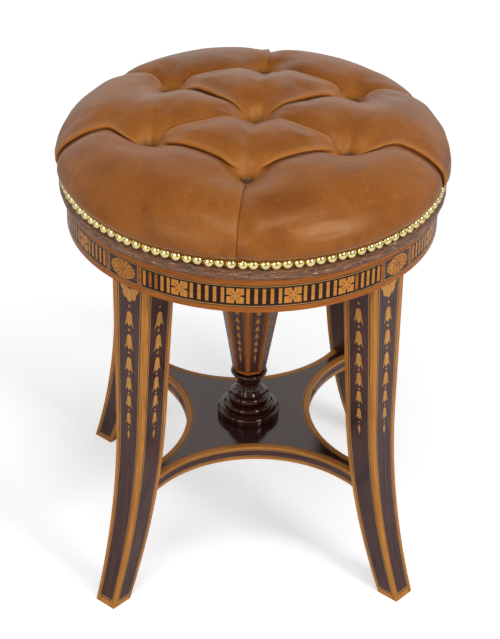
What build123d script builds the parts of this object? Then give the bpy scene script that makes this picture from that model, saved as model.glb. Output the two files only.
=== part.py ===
from build123d import *

import os
from math import acos, cos, hypot, pi, radians, sin, sqrt

os.makedirs("parts", exist_ok=True)

# Sizes are in millimetres and degrees. +Z is up, the floor is Z = 0 and the front of the stool is -Y.

# Frieze: four curved rails tenoned between the square heads of the legs
FRIEZE_RADIUS = 180.0
FRIEZE_THICKNESS = 22.0
FRIEZE_BOTTOM = 361.4
FRIEZE_HEIGHT = 35.6
TENON_LENGTH = 14.0
TENON_THICKNESS = 10.0
TENON_SHOULDER = 6.0
JOINT_FIT = 0.1

# Legs: straight above the knee, swept outwards below it, tapering to the foot
LEG_ANGLES = {"front_left": -135.0, "front_right": -45.0, "back_right": 45.0, "back_left": 135.0}
LEG_SETBACK = 8.5
LEG_TOP_DEPTH = 38.0
LEG_TOP_WIDTH = 45.0
LEG_KNEE_HEIGHT = 205.0
LEG_KNEE_LEAN = 3.5
LEG_KNEE_DEPTH = 35.0
LEG_MID_HEIGHT = 180.0
LEG_MID_WIDTH = 33.2
FOOT_SWEEP = 38.0
FOOT_DEPTH = 24.0
FOOT_WIDTH = 24.5

# Platform: a plate with four round scoops, dowelled to the legs
PLATFORM_BOTTOM = 111.0
PLATFORM_THICKNESS = 15.0
PLATFORM_WAIST = 63.0
SCOOP_RADIUS = 120.0
DOWEL_RADIUS = 4.0
DOWEL_DEPTH = 15.0

# Column: an eight-sided pillar that widens upwards, on a turned socle
COLUMN_SIDES = 8
COLUMN_TURN = -9.0
COLUMN_FOOT_RADIUS = 17.0
COLUMN_HEAD_RADIUS = 47.0
SPIGOT_RADIUS = 7.0
COLUMN_BORE_DEPTH = 125.0
SOCLE_RADIUS = 31.5
SOCLE_DISC_HEIGHT = 11.0
SOCLE_EDGE_ROUND = 3.0
SOCLE_TORUS_RADIUS = 24.5
SOCLE_TORUS_HEIGHT = 7.0
SOCLE_RING_RADIUS = 20.5
SOCLE_RING_HEIGHT = 5.0
NECK_RADIUS = 11.5
SCOTIA_HEIGHT = 11.0
SCOTIA_ROUND = 13.2
NECK_HEIGHT = 4.0
COLLAR_RADIUS = 18.4
COLLAR_HEIGHT = 16.0
COLLAR_SEAT = 2.0

# Cross rails: halved over each other on the diagonals, carrying the nut
CROSS_WIDTH = 56.0
CROSS_HEIGHT = 20.0
CROSS_TENON_WIDTH = 26.0
CROSS_TENON_HEIGHT = 10.0

# Screw and nut
SCREW_RADIUS = 12.0
SCREW_FIT = 0.3
SEAT_RISE = 90.0
NUT_RADIUS = 18.0
NUT_DEPTH = 16.4
NUT_FLANGE_RADIUS = 35.0
NUT_FLANGE_THICKNESS = 5.0
NUT_SCREW_CIRCLE = 27.0
NUT_SCREW_COUNT = 4
STOP_COLLAR_HEIGHT = 10.0
STOP_COLLAR_WALL = 5.0
STOP_PIN_RADIUS = 2.0
STOP_PIN_RECESS = 0.5
WASHER_RADIUS = 30.0
WASHER_THICKNESS = 2.7
RUNNING_GAP = 0.3

# Iron plate under the seat
HUB_RADIUS = 22.0
HUB_HEIGHT = 13.3
PLATE_RADIUS = 70.0
PLATE_THICKNESS = 5.0
PLATE_SCREW_CIRCLE = 55.0
PLATE_SCREW_COUNT = 6
WOOD_SCREW_RADIUS = 2.25
WOOD_SCREW_HEAD_RADIUS = 4.6
WOOD_SCREW_LENGTH = 13.0

# Seat frame
SEAT_TURN = -7.6
SEAT_GAP = 0.5
RIM_OVERHANG = 7.0
RIM_NOSE_HEIGHT = 12.0
RIM_NOSE_ROUND = 5.5
TACK_LEDGE = 6.0
TACK_RAIL_WIDTH = 16.0
BOARD_LEDGE = 17.0
BOARD_THICKNESS = 12.0

# Cushion: leather over stuffing, drawn down by seven tufts
LEATHER_THICKNESS = 2.0
PADDING_THICKNESS = 6.0
STUFFING_GAP = 0.3
STUFFING_EDGE_ROUND = 14.0
STUFFING_CROWN = 8.0
LEATHER_OVERHANG = 7.4
WIDEST_RISE = 18.0
BULGE_ROUND = 8.5
SHOULDER_ROUND = 22.0
SHOULDER_ANGLE = 50.0
CROWN_ROUND = 90.0
CROWN_ANGLE = 80.0
LEATHER_EDGE_GAP = 0.4
TUFT_INSET = 83.5
TUFT_COUNT = 6
TUFT_RISE = 48.1
TUFT_BOTTOM_RADIUS = 8.0
BUTTON_SEAT_RADIUS = 8.6
CORE_RADIUS = 10.0
CENTRE_RISE = 17.0
CREASE_RISE = 5.0
SIDE_RISE = 14.0
PANEL_ROUND = 4.4
PLEAT_DEPTH = 5.0
PLEAT_SPREAD = 8.0
BUTTON_RADIUS = 7.0
BUTTON_HEIGHT = 3.6
BUTTON_ROUND = 1.6
TWINE_RADIUS = 1.2

# Brass nails round the leather's edge
NAIL_RADIUS = 4.8
NAIL_SPACING = 0.67
NAIL_HEIGHT = 3.4
NAIL_SHOULDER_HEIGHT = 1.9
NAIL_SHOULDER_RADIUS = 3.9
NAIL_CROWN_RADIUS = 1.9
NAIL_SIDES = 8
NAIL_CENTRE_RISE = 4.9
NAIL_SEAT_GAP = 0.1

# Levels and places worked out from the sizes
leg_half_width = LEG_TOP_WIDTH / 2
leg_top_radius = FRIEZE_RADIUS - LEG_SETBACK
leg_knee_radius = leg_top_radius + LEG_KNEE_LEAN
foot_radius = leg_knee_radius + FOOT_SWEEP
head_inner_radius = leg_top_radius - LEG_TOP_DEPTH
frieze_top = FRIEZE_BOTTOM + FRIEZE_HEIGHT
frieze_inner_radius = FRIEZE_RADIUS - FRIEZE_THICKNESS
tenon_outer_radius = FRIEZE_RADIUS - (FRIEZE_THICKNESS - TENON_THICKNESS) / 2
tenon_inner_radius = tenon_outer_radius - TENON_THICKNESS
platform_top = PLATFORM_BOTTOM + PLATFORM_THICKNESS
dowel_height = PLATFORM_BOTTOM + PLATFORM_THICKNESS / 2
cross_top = FRIEZE_BOTTOM + CROSS_HEIGHT
bore_radius = NUT_RADIUS + JOINT_FIT
nut_bottom = FRIEZE_BOTTOM - NUT_DEPTH
nut_top = cross_top + NUT_FLANGE_THICKNESS
stop_collar_top = nut_bottom - SEAT_RISE - RUNNING_GAP
stop_collar_bottom = stop_collar_top - STOP_COLLAR_HEIGHT
washer_bottom = nut_top + RUNNING_GAP
hub_bottom = washer_bottom + WASHER_THICKNESS + RUNNING_GAP
plate_bottom = hub_bottom + HUB_HEIGHT
board_bottom = plate_bottom + PLATE_THICKNESS
board_top = board_bottom + BOARD_THICKNESS
rim_bottom = frieze_top + SEAT_GAP
nose_top = rim_bottom + RIM_NOSE_HEIGHT
leather_bottom = nose_top + LEATHER_EDGE_GAP
rim_nose_radius = FRIEZE_RADIUS + RIM_OVERHANG
tack_rail_radius = rim_nose_radius - TACK_LEDGE
board_radius = tack_rail_radius - TACK_RAIL_WIDTH
rim_inner_radius = board_radius - BOARD_LEDGE
tack_line_radius = tack_rail_radius + JOINT_FIT + LEATHER_THICKNESS
leather_radius = tack_line_radius + LEATHER_OVERHANG
widest_height = leather_bottom + WIDEST_RISE
tuft_circle = leather_radius - TUFT_INSET
tuft_bottom = leather_bottom + TUFT_RISE
stuffing_radius = tack_rail_radius - JOINT_FIT
stuffing_top = tuft_bottom - PADDING_THICKNESS
nail_height = nose_top + NAIL_CENTRE_RISE
nail_seat_radius = tack_line_radius + NAIL_SEAT_GAP
nail_count = int(2 * pi * nail_seat_radius / (2 * NAIL_RADIUS + NAIL_SPACING))
screw_clearance_radius = SCREW_RADIUS + SCREW_FIT


# Planes that the pieces are drawn on
def radial_plane(angle):
    """X points outwards along the angle and Y points up."""
    out = (cos(radians(angle)), sin(radians(angle)), 0)
    return Plane(origin=(0, 0, 0), x_dir=out, z_dir=(out[1], -out[0], 0))


def face_on_plane(angle):
    """X runs across the angle, Y points up and the normal points outwards."""
    out = (cos(radians(angle)), sin(radians(angle)), 0)
    return Plane(origin=(0, 0, 0), x_dir=(-out[1], out[0], 0), z_dir=out)


def level_plane(angle, height):
    """A level plane whose X points outwards along the angle."""
    out = (cos(radians(angle)), sin(radians(angle)), 0)
    return Plane(origin=(0, 0, height), x_dir=out, z_dir=(0, 0, 1))


def polar_point(radius, angle, height):
    return Vector(radius * cos(radians(angle)), radius * sin(radians(angle)), height)


def swept_radius(knee, top, foot, height):
    """Distance from the axis, at a height below the knee, of a leg edge that leaves the knee in line
    with its straight upper length and sweeps along one arc to the foot."""
    run = hypot(knee[0] - top[0], knee[1] - top[1])
    normal = ((top[1] - knee[1]) / run, (knee[0] - top[0]) / run)
    chord = (foot[0] - knee[0], foot[1] - knee[1])
    arc_radius = (chord[0] ** 2 + chord[1] ** 2) / (2 * (chord[0] * normal[0] + chord[1] * normal[1]))
    centre = (knee[0] + normal[0] * arc_radius, knee[1] + normal[1] * arc_radius)
    return centre[0] - sqrt(arc_radius**2 - (height - centre[1]) ** 2)


def save(piece, name):
    piece.part.label = name
    export_step(piece.part, f"parts/{name}.step")


# Legs
leg_top_outer = (leg_top_radius, FRIEZE_BOTTOM)
leg_knee_outer = (leg_knee_radius, LEG_KNEE_HEIGHT)
leg_foot_outer = (foot_radius, 0)
leg_top_inner = (head_inner_radius, FRIEZE_BOTTOM)
leg_knee_inner = (leg_knee_radius - LEG_KNEE_DEPTH, LEG_KNEE_HEIGHT)
leg_foot_inner = (foot_radius - FOOT_DEPTH, 0)
arm_end_top = swept_radius(leg_knee_inner, leg_top_inner, leg_foot_inner, platform_top)
arm_end_bottom = swept_radius(leg_knee_inner, leg_top_inner, leg_foot_inner, PLATFORM_BOTTOM)

for leg_name, leg_angle in LEG_ANGLES.items():
    with BuildPart() as leg:
        with BuildSketch(radial_plane(leg_angle)):
            with BuildLine():
                outer_line = Line(leg_top_outer, leg_knee_outer)
                TangentArc(leg_knee_outer, leg_foot_outer, tangent=outer_line % 1)
                Line(leg_foot_outer, leg_foot_inner)
                inner_line = Line(leg_top_inner, leg_knee_inner)
                TangentArc(leg_knee_inner, leg_foot_inner, tangent=inner_line % 1)
                Line(leg_top_inner, leg_top_outer)
            make_face()
        extrude(amount=LEG_TOP_WIDTH, both=True)
        # The two side faces draw in from the head to the foot
        with BuildSketch(face_on_plane(leg_angle)):
            with BuildLine():
                for side in (-1, 1):
                    ThreePointArc(
                        (side * leg_half_width, FRIEZE_BOTTOM),
                        (side * LEG_MID_WIDTH / 2, LEG_MID_HEIGHT),
                        (side * FOOT_WIDTH / 2, 0),
                    )
                Line((-FOOT_WIDTH / 2, 0), (FOOT_WIDTH / 2, 0))
                Line((-leg_half_width, FRIEZE_BOTTOM), (leg_half_width, FRIEZE_BOTTOM))
            make_face()
        extrude(amount=2 * foot_radius, mode=Mode.INTERSECT)
        # Head, flush with the frieze
        with BuildSketch(level_plane(leg_angle, FRIEZE_BOTTOM)):
            Circle(FRIEZE_RADIUS)
            with Locations((FRIEZE_RADIUS, 0)):
                Rectangle(2 * (FRIEZE_RADIUS - head_inner_radius), LEG_TOP_WIDTH, mode=Mode.INTERSECT)
        extrude(amount=FRIEZE_HEIGHT)
        # Mortises for the two frieze rails
        for side in (-1, 1):
            with BuildSketch(level_plane(leg_angle, FRIEZE_BOTTOM + TENON_SHOULDER - JOINT_FIT)):
                Circle(tenon_outer_radius + JOINT_FIT)
                Circle(tenon_inner_radius - JOINT_FIT, mode=Mode.SUBTRACT)
                with Locations((FRIEZE_RADIUS, side * leg_half_width)):
                    Rectangle(FRIEZE_RADIUS, 2 * (TENON_LENGTH + JOINT_FIT), mode=Mode.INTERSECT)
            extrude(amount=FRIEZE_HEIGHT - 2 * TENON_SHOULDER + 2 * JOINT_FIT, mode=Mode.SUBTRACT)
        # Mortise for the cross rail
        with BuildSketch(level_plane(leg_angle, FRIEZE_BOTTOM + CROSS_HEIGHT / 2)):
            with Locations((head_inner_radius, 0)):
                Rectangle(2 * (TENON_LENGTH + JOINT_FIT), CROSS_TENON_WIDTH + 2 * JOINT_FIT)
        extrude(amount=CROSS_TENON_HEIGHT / 2 + JOINT_FIT, both=True, mode=Mode.SUBTRACT)
        # Dowel hole behind the platform's arm
        with Locations(face_on_plane(leg_angle).offset(arm_end_bottom)):
            with Locations((0, dowel_height)):
                Cylinder(
                    DOWEL_RADIUS + JOINT_FIT,
                    2 * (DOWEL_DEPTH + JOINT_FIT),
                    mode=Mode.SUBTRACT,
                )
    save(leg, f"leg_{leg_name}")

# Frieze rails
RAIL_ANGLES = {"front": -90.0, "right": 0.0, "back": 90.0, "left": 180.0}
wedge_reach = 2 * FRIEZE_RADIUS
tenon_offset = leg_half_width - TENON_LENGTH


def rail_section(plane, inner, outer, head_offset):
    """A quarter of a ring, cut back from the centre lines of the two legs beside it."""
    apex = head_offset * sqrt(2)
    with BuildSketch(plane) as section:
        Circle(outer)
        Circle(inner, mode=Mode.SUBTRACT)
        Polygon(
            (apex, 0),
            (apex + wedge_reach, wedge_reach),
            (apex + wedge_reach, -wedge_reach),
            align=None,
            mode=Mode.INTERSECT,
        )
    return section.sketch


for rail_name, rail_angle in RAIL_ANGLES.items():
    rail_plane = level_plane(rail_angle, FRIEZE_BOTTOM)
    tenon_plane = level_plane(rail_angle, FRIEZE_BOTTOM + TENON_SHOULDER)
    with BuildPart() as rail:
        extrude(
            rail_section(rail_plane, frieze_inner_radius, FRIEZE_RADIUS, leg_half_width),
            amount=FRIEZE_HEIGHT,
        )
        extrude(
            rail_section(tenon_plane, tenon_inner_radius, tenon_outer_radius, tenon_offset),
            amount=FRIEZE_HEIGHT - 2 * TENON_SHOULDER,
        )
    save(rail, f"frieze_{rail_name}")

# Cross rails
CROSS_RAILS = {"lower": (45.0, 1), "upper": (135.0, -1)}
cross_middle = FRIEZE_BOTTOM + CROSS_HEIGHT / 2

for cross_name, (cross_angle, notch_side) in CROSS_RAILS.items():
    with BuildPart() as cross_rail:
        with BuildSketch(level_plane(cross_angle, FRIEZE_BOTTOM)):
            Rectangle(2 * head_inner_radius, CROSS_WIDTH)
        extrude(amount=CROSS_HEIGHT)
        with BuildSketch(level_plane(cross_angle, cross_middle)):
            Rectangle(2 * (head_inner_radius + TENON_LENGTH), CROSS_TENON_WIDTH)
        extrude(amount=CROSS_TENON_HEIGHT / 2, both=True)
        # Half of the thickness is notched out where the rails cross
        with BuildSketch(level_plane(cross_angle, cross_middle)):
            Rectangle(CROSS_WIDTH, CROSS_WIDTH)
        extrude(amount=notch_side * CROSS_HEIGHT / 2, mode=Mode.SUBTRACT)
        with Locations((0, 0, cross_middle)):
            Cylinder(bore_radius, CROSS_HEIGHT, mode=Mode.SUBTRACT)
        with BuildSketch(level_plane(0, cross_top)):
            with PolarLocations(NUT_SCREW_CIRCLE, NUT_SCREW_COUNT):
                Circle(WOOD_SCREW_RADIUS)
        extrude(amount=-WOOD_SCREW_LENGTH, mode=Mode.SUBTRACT)
    save(cross_rail, f"cross_rail_{cross_name}")

# Platform
scoop_centre = PLATFORM_WAIST + SCOOP_RADIUS
with BuildPart() as platform:
    with BuildSketch(Plane.XY.offset(PLATFORM_BOTTOM)):
        Circle(arm_end_bottom + PLATFORM_THICKNESS)
        with PolarLocations(scoop_centre, len(LEG_ANGLES)):
            Circle(SCOOP_RADIUS, mode=Mode.SUBTRACT)
    extrude(amount=PLATFORM_THICKNESS)
    # Each arm ends on the sloping inner face of its leg
    for leg_angle in LEG_ANGLES.values():
        with BuildSketch(radial_plane(leg_angle)):
            with BuildLine():
                Polyline(
                    (arm_end_bottom - JOINT_FIT, PLATFORM_BOTTOM),
                    (arm_end_top - JOINT_FIT, platform_top),
                    (2 * foot_radius, platform_top),
                    (2 * foot_radius, PLATFORM_BOTTOM),
                    close=True,
                )
            make_face()
        extrude(amount=LEG_TOP_WIDTH, both=True, mode=Mode.SUBTRACT)
        with Locations(face_on_plane(leg_angle).offset(arm_end_bottom)):
            with Locations((0, dowel_height)):
                Cylinder(DOWEL_RADIUS + JOINT_FIT, 2 * (DOWEL_DEPTH + JOINT_FIT), mode=Mode.SUBTRACT)
    with Locations((0, 0, dowel_height)):
        Cylinder(SPIGOT_RADIUS + JOINT_FIT, PLATFORM_THICKNESS, mode=Mode.SUBTRACT)
save(platform, "platform")

with BuildPart() as platform_dowels:
    for leg_angle in LEG_ANGLES.values():
        with Locations(face_on_plane(leg_angle).offset(arm_end_bottom)):
            with Locations((0, dowel_height)):
                Cylinder(DOWEL_RADIUS, 2 * DOWEL_DEPTH)
save(platform_dowels, "platform_dowels")

# Turned socle under the column
disc_top = platform_top + SOCLE_DISC_HEIGHT
torus_top = disc_top + SOCLE_TORUS_HEIGHT
ring_top = torus_top + SOCLE_RING_HEIGHT
neck_bottom = ring_top + SCOTIA_HEIGHT
neck_top = neck_bottom + NECK_HEIGHT
collar_top = neck_top + COLLAR_HEIGHT
column_foot = collar_top + COLLAR_SEAT
torus_inner = SOCLE_TORUS_RADIUS - SOCLE_TORUS_HEIGHT / 2
ring_inner = SOCLE_RING_RADIUS - SOCLE_RING_HEIGHT / 2
collar_inner = COLLAR_RADIUS - COLLAR_HEIGHT / 4

with BuildPart() as column_socle:
    with BuildSketch(Plane.XZ):
        with BuildLine():
            Polyline(
                (0, platform_top),
                (SOCLE_RADIUS, platform_top),
                (SOCLE_RADIUS, disc_top - SOCLE_EDGE_ROUND),
            )
            RadiusArc(
                (SOCLE_RADIUS, disc_top - SOCLE_EDGE_ROUND),
                (SOCLE_RADIUS - SOCLE_EDGE_ROUND, disc_top),
                -SOCLE_EDGE_ROUND,
            )
            Line((SOCLE_RADIUS - SOCLE_EDGE_ROUND, disc_top), (torus_inner, disc_top))
            ThreePointArc(
                (torus_inner, disc_top),
                (SOCLE_TORUS_RADIUS, (disc_top + torus_top) / 2),
                (torus_inner, torus_top),
            )
            Line((torus_inner, torus_top), (ring_inner, torus_top))
            ThreePointArc(
                (ring_inner, torus_top),
                (SOCLE_RING_RADIUS, (torus_top + ring_top) / 2),
                (ring_inner, ring_top),
            )
            # The hollow sweeps in to the neck, which carries the collar
            RadiusArc((ring_inner, ring_top), (NECK_RADIUS, neck_bottom), SCOTIA_ROUND)
            Polyline((NECK_RADIUS, neck_bottom), (NECK_RADIUS, neck_top), (collar_inner, neck_top))
            ThreePointArc(
                (collar_inner, neck_top),
                (COLLAR_RADIUS, (neck_top + collar_top) / 2),
                (collar_inner, collar_top),
            )
            Polyline(
                (collar_inner, collar_top),
                (collar_inner, column_foot),
                (0, column_foot),
                (0, platform_top),
            )
        make_face()
    revolve(axis=Axis.Z)
    with Locations((0, 0, column_foot)):
        Cylinder(
            SPIGOT_RADIUS + JOINT_FIT,
            2 * (column_foot - platform_top),
            mode=Mode.SUBTRACT,
        )
save(column_socle, "column_socle")

# Eight-sided column, bored for the screw, with a spigot through the socle and the platform
with BuildPart() as column:
    with BuildSketch(level_plane(COLUMN_TURN, column_foot)):
        RegularPolygon(COLUMN_FOOT_RADIUS, COLUMN_SIDES)
    with BuildSketch(level_plane(COLUMN_TURN, FRIEZE_BOTTOM)):
        RegularPolygon(COLUMN_HEAD_RADIUS, COLUMN_SIDES)
    loft(ruled=True)
    with BuildSketch(Plane.XY.offset(column_foot)):
        Circle(SPIGOT_RADIUS)
    extrude(amount=PLATFORM_BOTTOM - column_foot)
    with BuildSketch(Plane.XY.offset(FRIEZE_BOTTOM)):
        Circle(bore_radius)
    extrude(amount=-COLUMN_BORE_DEPTH, mode=Mode.SUBTRACT)
save(column, "column")

# Flanged nut let into the cross rails
with BuildPart() as screw_nut:
    with BuildSketch(Plane.XY.offset(nut_bottom)):
        Circle(NUT_RADIUS)
    extrude(amount=cross_top - nut_bottom)
    with BuildSketch(Plane.XY.offset(cross_top)):
        Circle(NUT_FLANGE_RADIUS)
    extrude(amount=NUT_FLANGE_THICKNESS)
    with BuildSketch(Plane.XY.offset(nut_bottom)):
        Circle(screw_clearance_radius)
    extrude(amount=nut_top - nut_bottom, mode=Mode.SUBTRACT)
    with Locations(Plane.XY.offset(nut_top)):
        with PolarLocations(NUT_SCREW_CIRCLE, NUT_SCREW_COUNT):
            CounterSinkHole(WOOD_SCREW_RADIUS, WOOD_SCREW_HEAD_RADIUS, depth=NUT_FLANGE_THICKNESS)
save(screw_nut, "screw_nut")


def wood_screws(plane, circle, count):
    """Countersunk screws whose heads finish at the plane and whose points run against its normal."""
    countersink_depth = WOOD_SCREW_HEAD_RADIUS - WOOD_SCREW_RADIUS
    with Locations(plane):
        with PolarLocations(circle, count):
            with Locations((0, 0, -countersink_depth / 2)):
                Cone(WOOD_SCREW_RADIUS, WOOD_SCREW_HEAD_RADIUS, countersink_depth)
            with Locations((0, 0, -WOOD_SCREW_LENGTH / 2)):
                Cylinder(WOOD_SCREW_RADIUS, WOOD_SCREW_LENGTH)


with BuildPart() as nut_screws:
    wood_screws(Plane.XY.offset(nut_top), NUT_SCREW_CIRCLE, NUT_SCREW_COUNT)
save(nut_screws, "nut_screws")

# Leather washer that hugs the screw on top of the nut
with BuildPart() as leather_washer:
    with BuildSketch(Plane.XY.offset(washer_bottom)):
        Circle(WASHER_RADIUS)
        Circle(screw_clearance_radius, mode=Mode.SUBTRACT)
    extrude(amount=WASHER_THICKNESS)
save(leather_washer, "leather_washer")

# Lift screw with its stop collar and pin
with BuildPart() as lift_screw:
    with BuildSketch(Plane.XY.offset(stop_collar_bottom)):
        Circle(SCREW_RADIUS)
    extrude(amount=board_bottom - stop_collar_bottom)
    with Locations(Plane.XZ):
        with Locations((0, (stop_collar_bottom + stop_collar_top) / 2)):
            Cylinder(STOP_PIN_RADIUS + JOINT_FIT, 2 * SCREW_RADIUS, mode=Mode.SUBTRACT)
save(lift_screw, "lift_screw")

with BuildPart() as stop_collar:
    with BuildSketch(Plane.XY.offset(stop_collar_bottom)):
        Circle(SCREW_RADIUS + STOP_COLLAR_WALL)
        Circle(SCREW_RADIUS + JOINT_FIT, mode=Mode.SUBTRACT)
    extrude(amount=STOP_COLLAR_HEIGHT)
    with Locations(Plane.XZ):
        with Locations((0, (stop_collar_bottom + stop_collar_top) / 2)):
            Cylinder(
                STOP_PIN_RADIUS + JOINT_FIT,
                2 * (SCREW_RADIUS + STOP_COLLAR_WALL),
                mode=Mode.SUBTRACT,
            )
save(stop_collar, "stop_collar")

with BuildPart() as stop_pin:
    with Locations(Plane.XZ):
        with Locations((0, (stop_collar_bottom + stop_collar_top) / 2)):
            Cylinder(STOP_PIN_RADIUS, 2 * (SCREW_RADIUS + STOP_COLLAR_WALL - STOP_PIN_RECESS))
save(stop_pin, "stop_pin")

# Iron plate that carries the seat on the screw
with BuildPart() as seat_plate:
    with BuildSketch(Plane.XY.offset(plate_bottom)):
        Circle(PLATE_RADIUS)
    extrude(amount=PLATE_THICKNESS)
    with BuildSketch(Plane.XY.offset(hub_bottom)):
        Circle(HUB_RADIUS)
    extrude(amount=HUB_HEIGHT)
    with BuildSketch(Plane.XY.offset(hub_bottom)):
        Circle(SCREW_RADIUS + JOINT_FIT)
    extrude(amount=board_bottom - hub_bottom, mode=Mode.SUBTRACT)
    with Locations(-Plane.XY.offset(plate_bottom)):
        with PolarLocations(PLATE_SCREW_CIRCLE, PLATE_SCREW_COUNT):
            CounterSinkHole(WOOD_SCREW_RADIUS, WOOD_SCREW_HEAD_RADIUS, depth=PLATE_THICKNESS)
save(seat_plate, "seat_plate")

with BuildPart() as plate_screws:
    wood_screws(-Plane.XY.offset(plate_bottom), PLATE_SCREW_CIRCLE, PLATE_SCREW_COUNT)
save(plate_screws, "plate_screws")

# Tuft places: one at the centre and six round it
tuft_places = [Vector(0, 0, tuft_bottom)]
for tuft_index in range(TUFT_COUNT):
    tuft_angle = -90 + SEAT_TURN + tuft_index * 360 / TUFT_COUNT
    tuft_places.append(polar_point(tuft_circle, tuft_angle, tuft_bottom))

# Board, with holes for the twine and the screws
with BuildPart() as seat_board:
    with BuildSketch(Plane.XY.offset(board_bottom)):
        Circle(board_radius - JOINT_FIT)
        with Locations(*[(place.X, place.Y) for place in tuft_places]):
            Circle(TWINE_RADIUS + JOINT_FIT, mode=Mode.SUBTRACT)
    extrude(amount=BOARD_THICKNESS)
    with BuildSketch(-Plane.XY.offset(board_bottom)):
        with PolarLocations(PLATE_SCREW_CIRCLE, PLATE_SCREW_COUNT):
            Circle(WOOD_SCREW_RADIUS)
    extrude(amount=-(WOOD_SCREW_LENGTH - PLATE_THICKNESS), mode=Mode.SUBTRACT)
save(seat_board, "seat_board")

# Turned rim: a rounded nose below, a rebated tacking rail above and a ledge for the board
with BuildPart() as seat_rim:
    with BuildSketch(Plane.XZ) as rim_section:
        with BuildLine():
            Polyline(
                (rim_inner_radius, rim_bottom),
                (rim_nose_radius, rim_bottom),
                (rim_nose_radius, nose_top),
                (tack_rail_radius, nose_top),
                (tack_rail_radius, board_top),
                (board_radius, board_top),
                (board_radius, board_bottom),
                (rim_inner_radius, board_bottom),
                close=True,
            )
        make_face()
        fillet(rim_section.vertices().group_by(Axis.X)[-1], radius=RIM_NOSE_ROUND)
    revolve(axis=Axis.Z)
save(seat_rim, "seat_rim")

# Cushion: six lofted panels between the pleats, each through half sections of arcs
bulge_reach = tack_line_radius - (leather_radius - BULGE_ROUND)
bulge_drop = sqrt(BULGE_ROUND**2 - bulge_reach**2)
bulge_sagitta = BULGE_ROUND * (1 - cos(acos(bulge_reach / BULGE_ROUND) / 2))
shoulder_top = (
    leather_radius - SHOULDER_ROUND * (1 - cos(radians(SHOULDER_ANGLE))),
    widest_height + SHOULDER_ROUND * sin(radians(SHOULDER_ANGLE)),
)
shoulder_sagitta = SHOULDER_ROUND * (1 - cos(radians(SHOULDER_ANGLE / 2)))
crown_edge = (
    shoulder_top[0] - CROWN_ROUND * (cos(radians(SHOULDER_ANGLE)) - cos(radians(CROWN_ANGLE))),
    shoulder_top[1] + CROWN_ROUND * (sin(radians(CROWN_ANGLE)) - sin(radians(SHOULDER_ANGLE))),
)
crown_sagitta = CROWN_ROUND * (1 - cos(radians(CROWN_ANGLE - SHOULDER_ANGLE) / 2))
panel_angle = 360 / TUFT_COUNT


def panel_section(tuft_angle, turn, centre_rise, ring_rise, pleat):
    """Half section of the cover, turned from a tuft towards the next one. The rises are over the tufts'
    bottoms, half way out to the ring of tufts and on the line that joins them. A pleat draws it in."""
    ring = tuft_circle * cos(radians(panel_angle / 2)) / cos(radians(turn - panel_angle / 2))
    shoulder_inset = (pleat * cos(radians(SHOULDER_ANGLE)), pleat * sin(radians(SHOULDER_ANGLE)))
    points = [
        (TUFT_BOTTOM_RADIUS, tuft_bottom),
        ((ring + TUFT_BOTTOM_RADIUS) / 2, tuft_bottom + centre_rise),
        (ring, tuft_bottom + ring_rise),
        (crown_edge[0], crown_edge[1] - pleat),
        (shoulder_top[0] - shoulder_inset[0], shoulder_top[1] - shoulder_inset[1]),
        (leather_radius - pleat, widest_height),
        (tack_line_radius, widest_height - bulge_drop),
    ]
    sagittas = [PANEL_ROUND, PANEL_ROUND, PANEL_ROUND, crown_sagitta, shoulder_sagitta, bulge_sagitta]
    with BuildSketch(radial_plane(tuft_angle + turn)) as section:
        with BuildLine():
            for start, end, sagitta in zip(points, points[1:], sagittas):
                SagittaArc(start, end, sagitta)
            Polyline(
                points[-1],
                (tack_line_radius, leather_bottom),
                (TUFT_BOTTOM_RADIUS, leather_bottom),
                points[0],
            )
        make_face()
    return section.sketch


# Turns, and the rises at the centre and on the ring, of the sections through each kind of panel
near_turn = PLEAT_SPREAD
far_turn = panel_angle - PLEAT_SPREAD
half_rise = (CENTRE_RISE + CREASE_RISE) / 2
DIAMOND_PANEL = [
    (0, CENTRE_RISE, 0, PLEAT_DEPTH),
    (near_turn, CENTRE_RISE, CREASE_RISE / 2, 0),
    (panel_angle / 2, CENTRE_RISE, CREASE_RISE, 0),
    (far_turn, half_rise, CREASE_RISE / 2, 0),
    (panel_angle, CREASE_RISE, 0, PLEAT_DEPTH),
]
SIDE_PANEL = [
    (0, CREASE_RISE, 0, PLEAT_DEPTH),
    (near_turn, half_rise, half_rise, 0),
    (panel_angle / 2, CENTRE_RISE, SIDE_RISE, 0),
    (far_turn, half_rise, half_rise, 0),
    (panel_angle, CREASE_RISE, 0, PLEAT_DEPTH),
]
MIRRORED_DIAMOND = [(panel_angle - turn, *rises) for turn, *rises in reversed(DIAMOND_PANEL)]
PANELS = [DIAMOND_PANEL, SIDE_PANEL, MIRRORED_DIAMOND] * 2


def stuffing_outline(gap, bottom):
    """Half section of the firm lower pad, grown by the gap, with a crowned top and a rounded edge."""
    edge_radius = stuffing_radius + gap
    edge_top = stuffing_top - STUFFING_CROWN + gap
    with BuildSketch(Plane.XZ) as outline:
        with BuildLine():
            Polyline(
                (0, stuffing_top + gap),
                (0, bottom),
                (edge_radius, bottom),
                (edge_radius, edge_top - STUFFING_EDGE_ROUND),
            )
            RadiusArc(
                (edge_radius, edge_top - STUFFING_EDGE_ROUND),
                (edge_radius - STUFFING_EDGE_ROUND, edge_top),
                -STUFFING_EDGE_ROUND,
            )
            crown_edge = edge_radius - STUFFING_EDGE_ROUND
            crown_arc = (crown_edge**2 + STUFFING_CROWN**2) / (2 * STUFFING_CROWN)
            RadiusArc((crown_edge, edge_top), (0, stuffing_top + gap), -crown_arc)
        make_face()
    return outline.sketch


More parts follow.
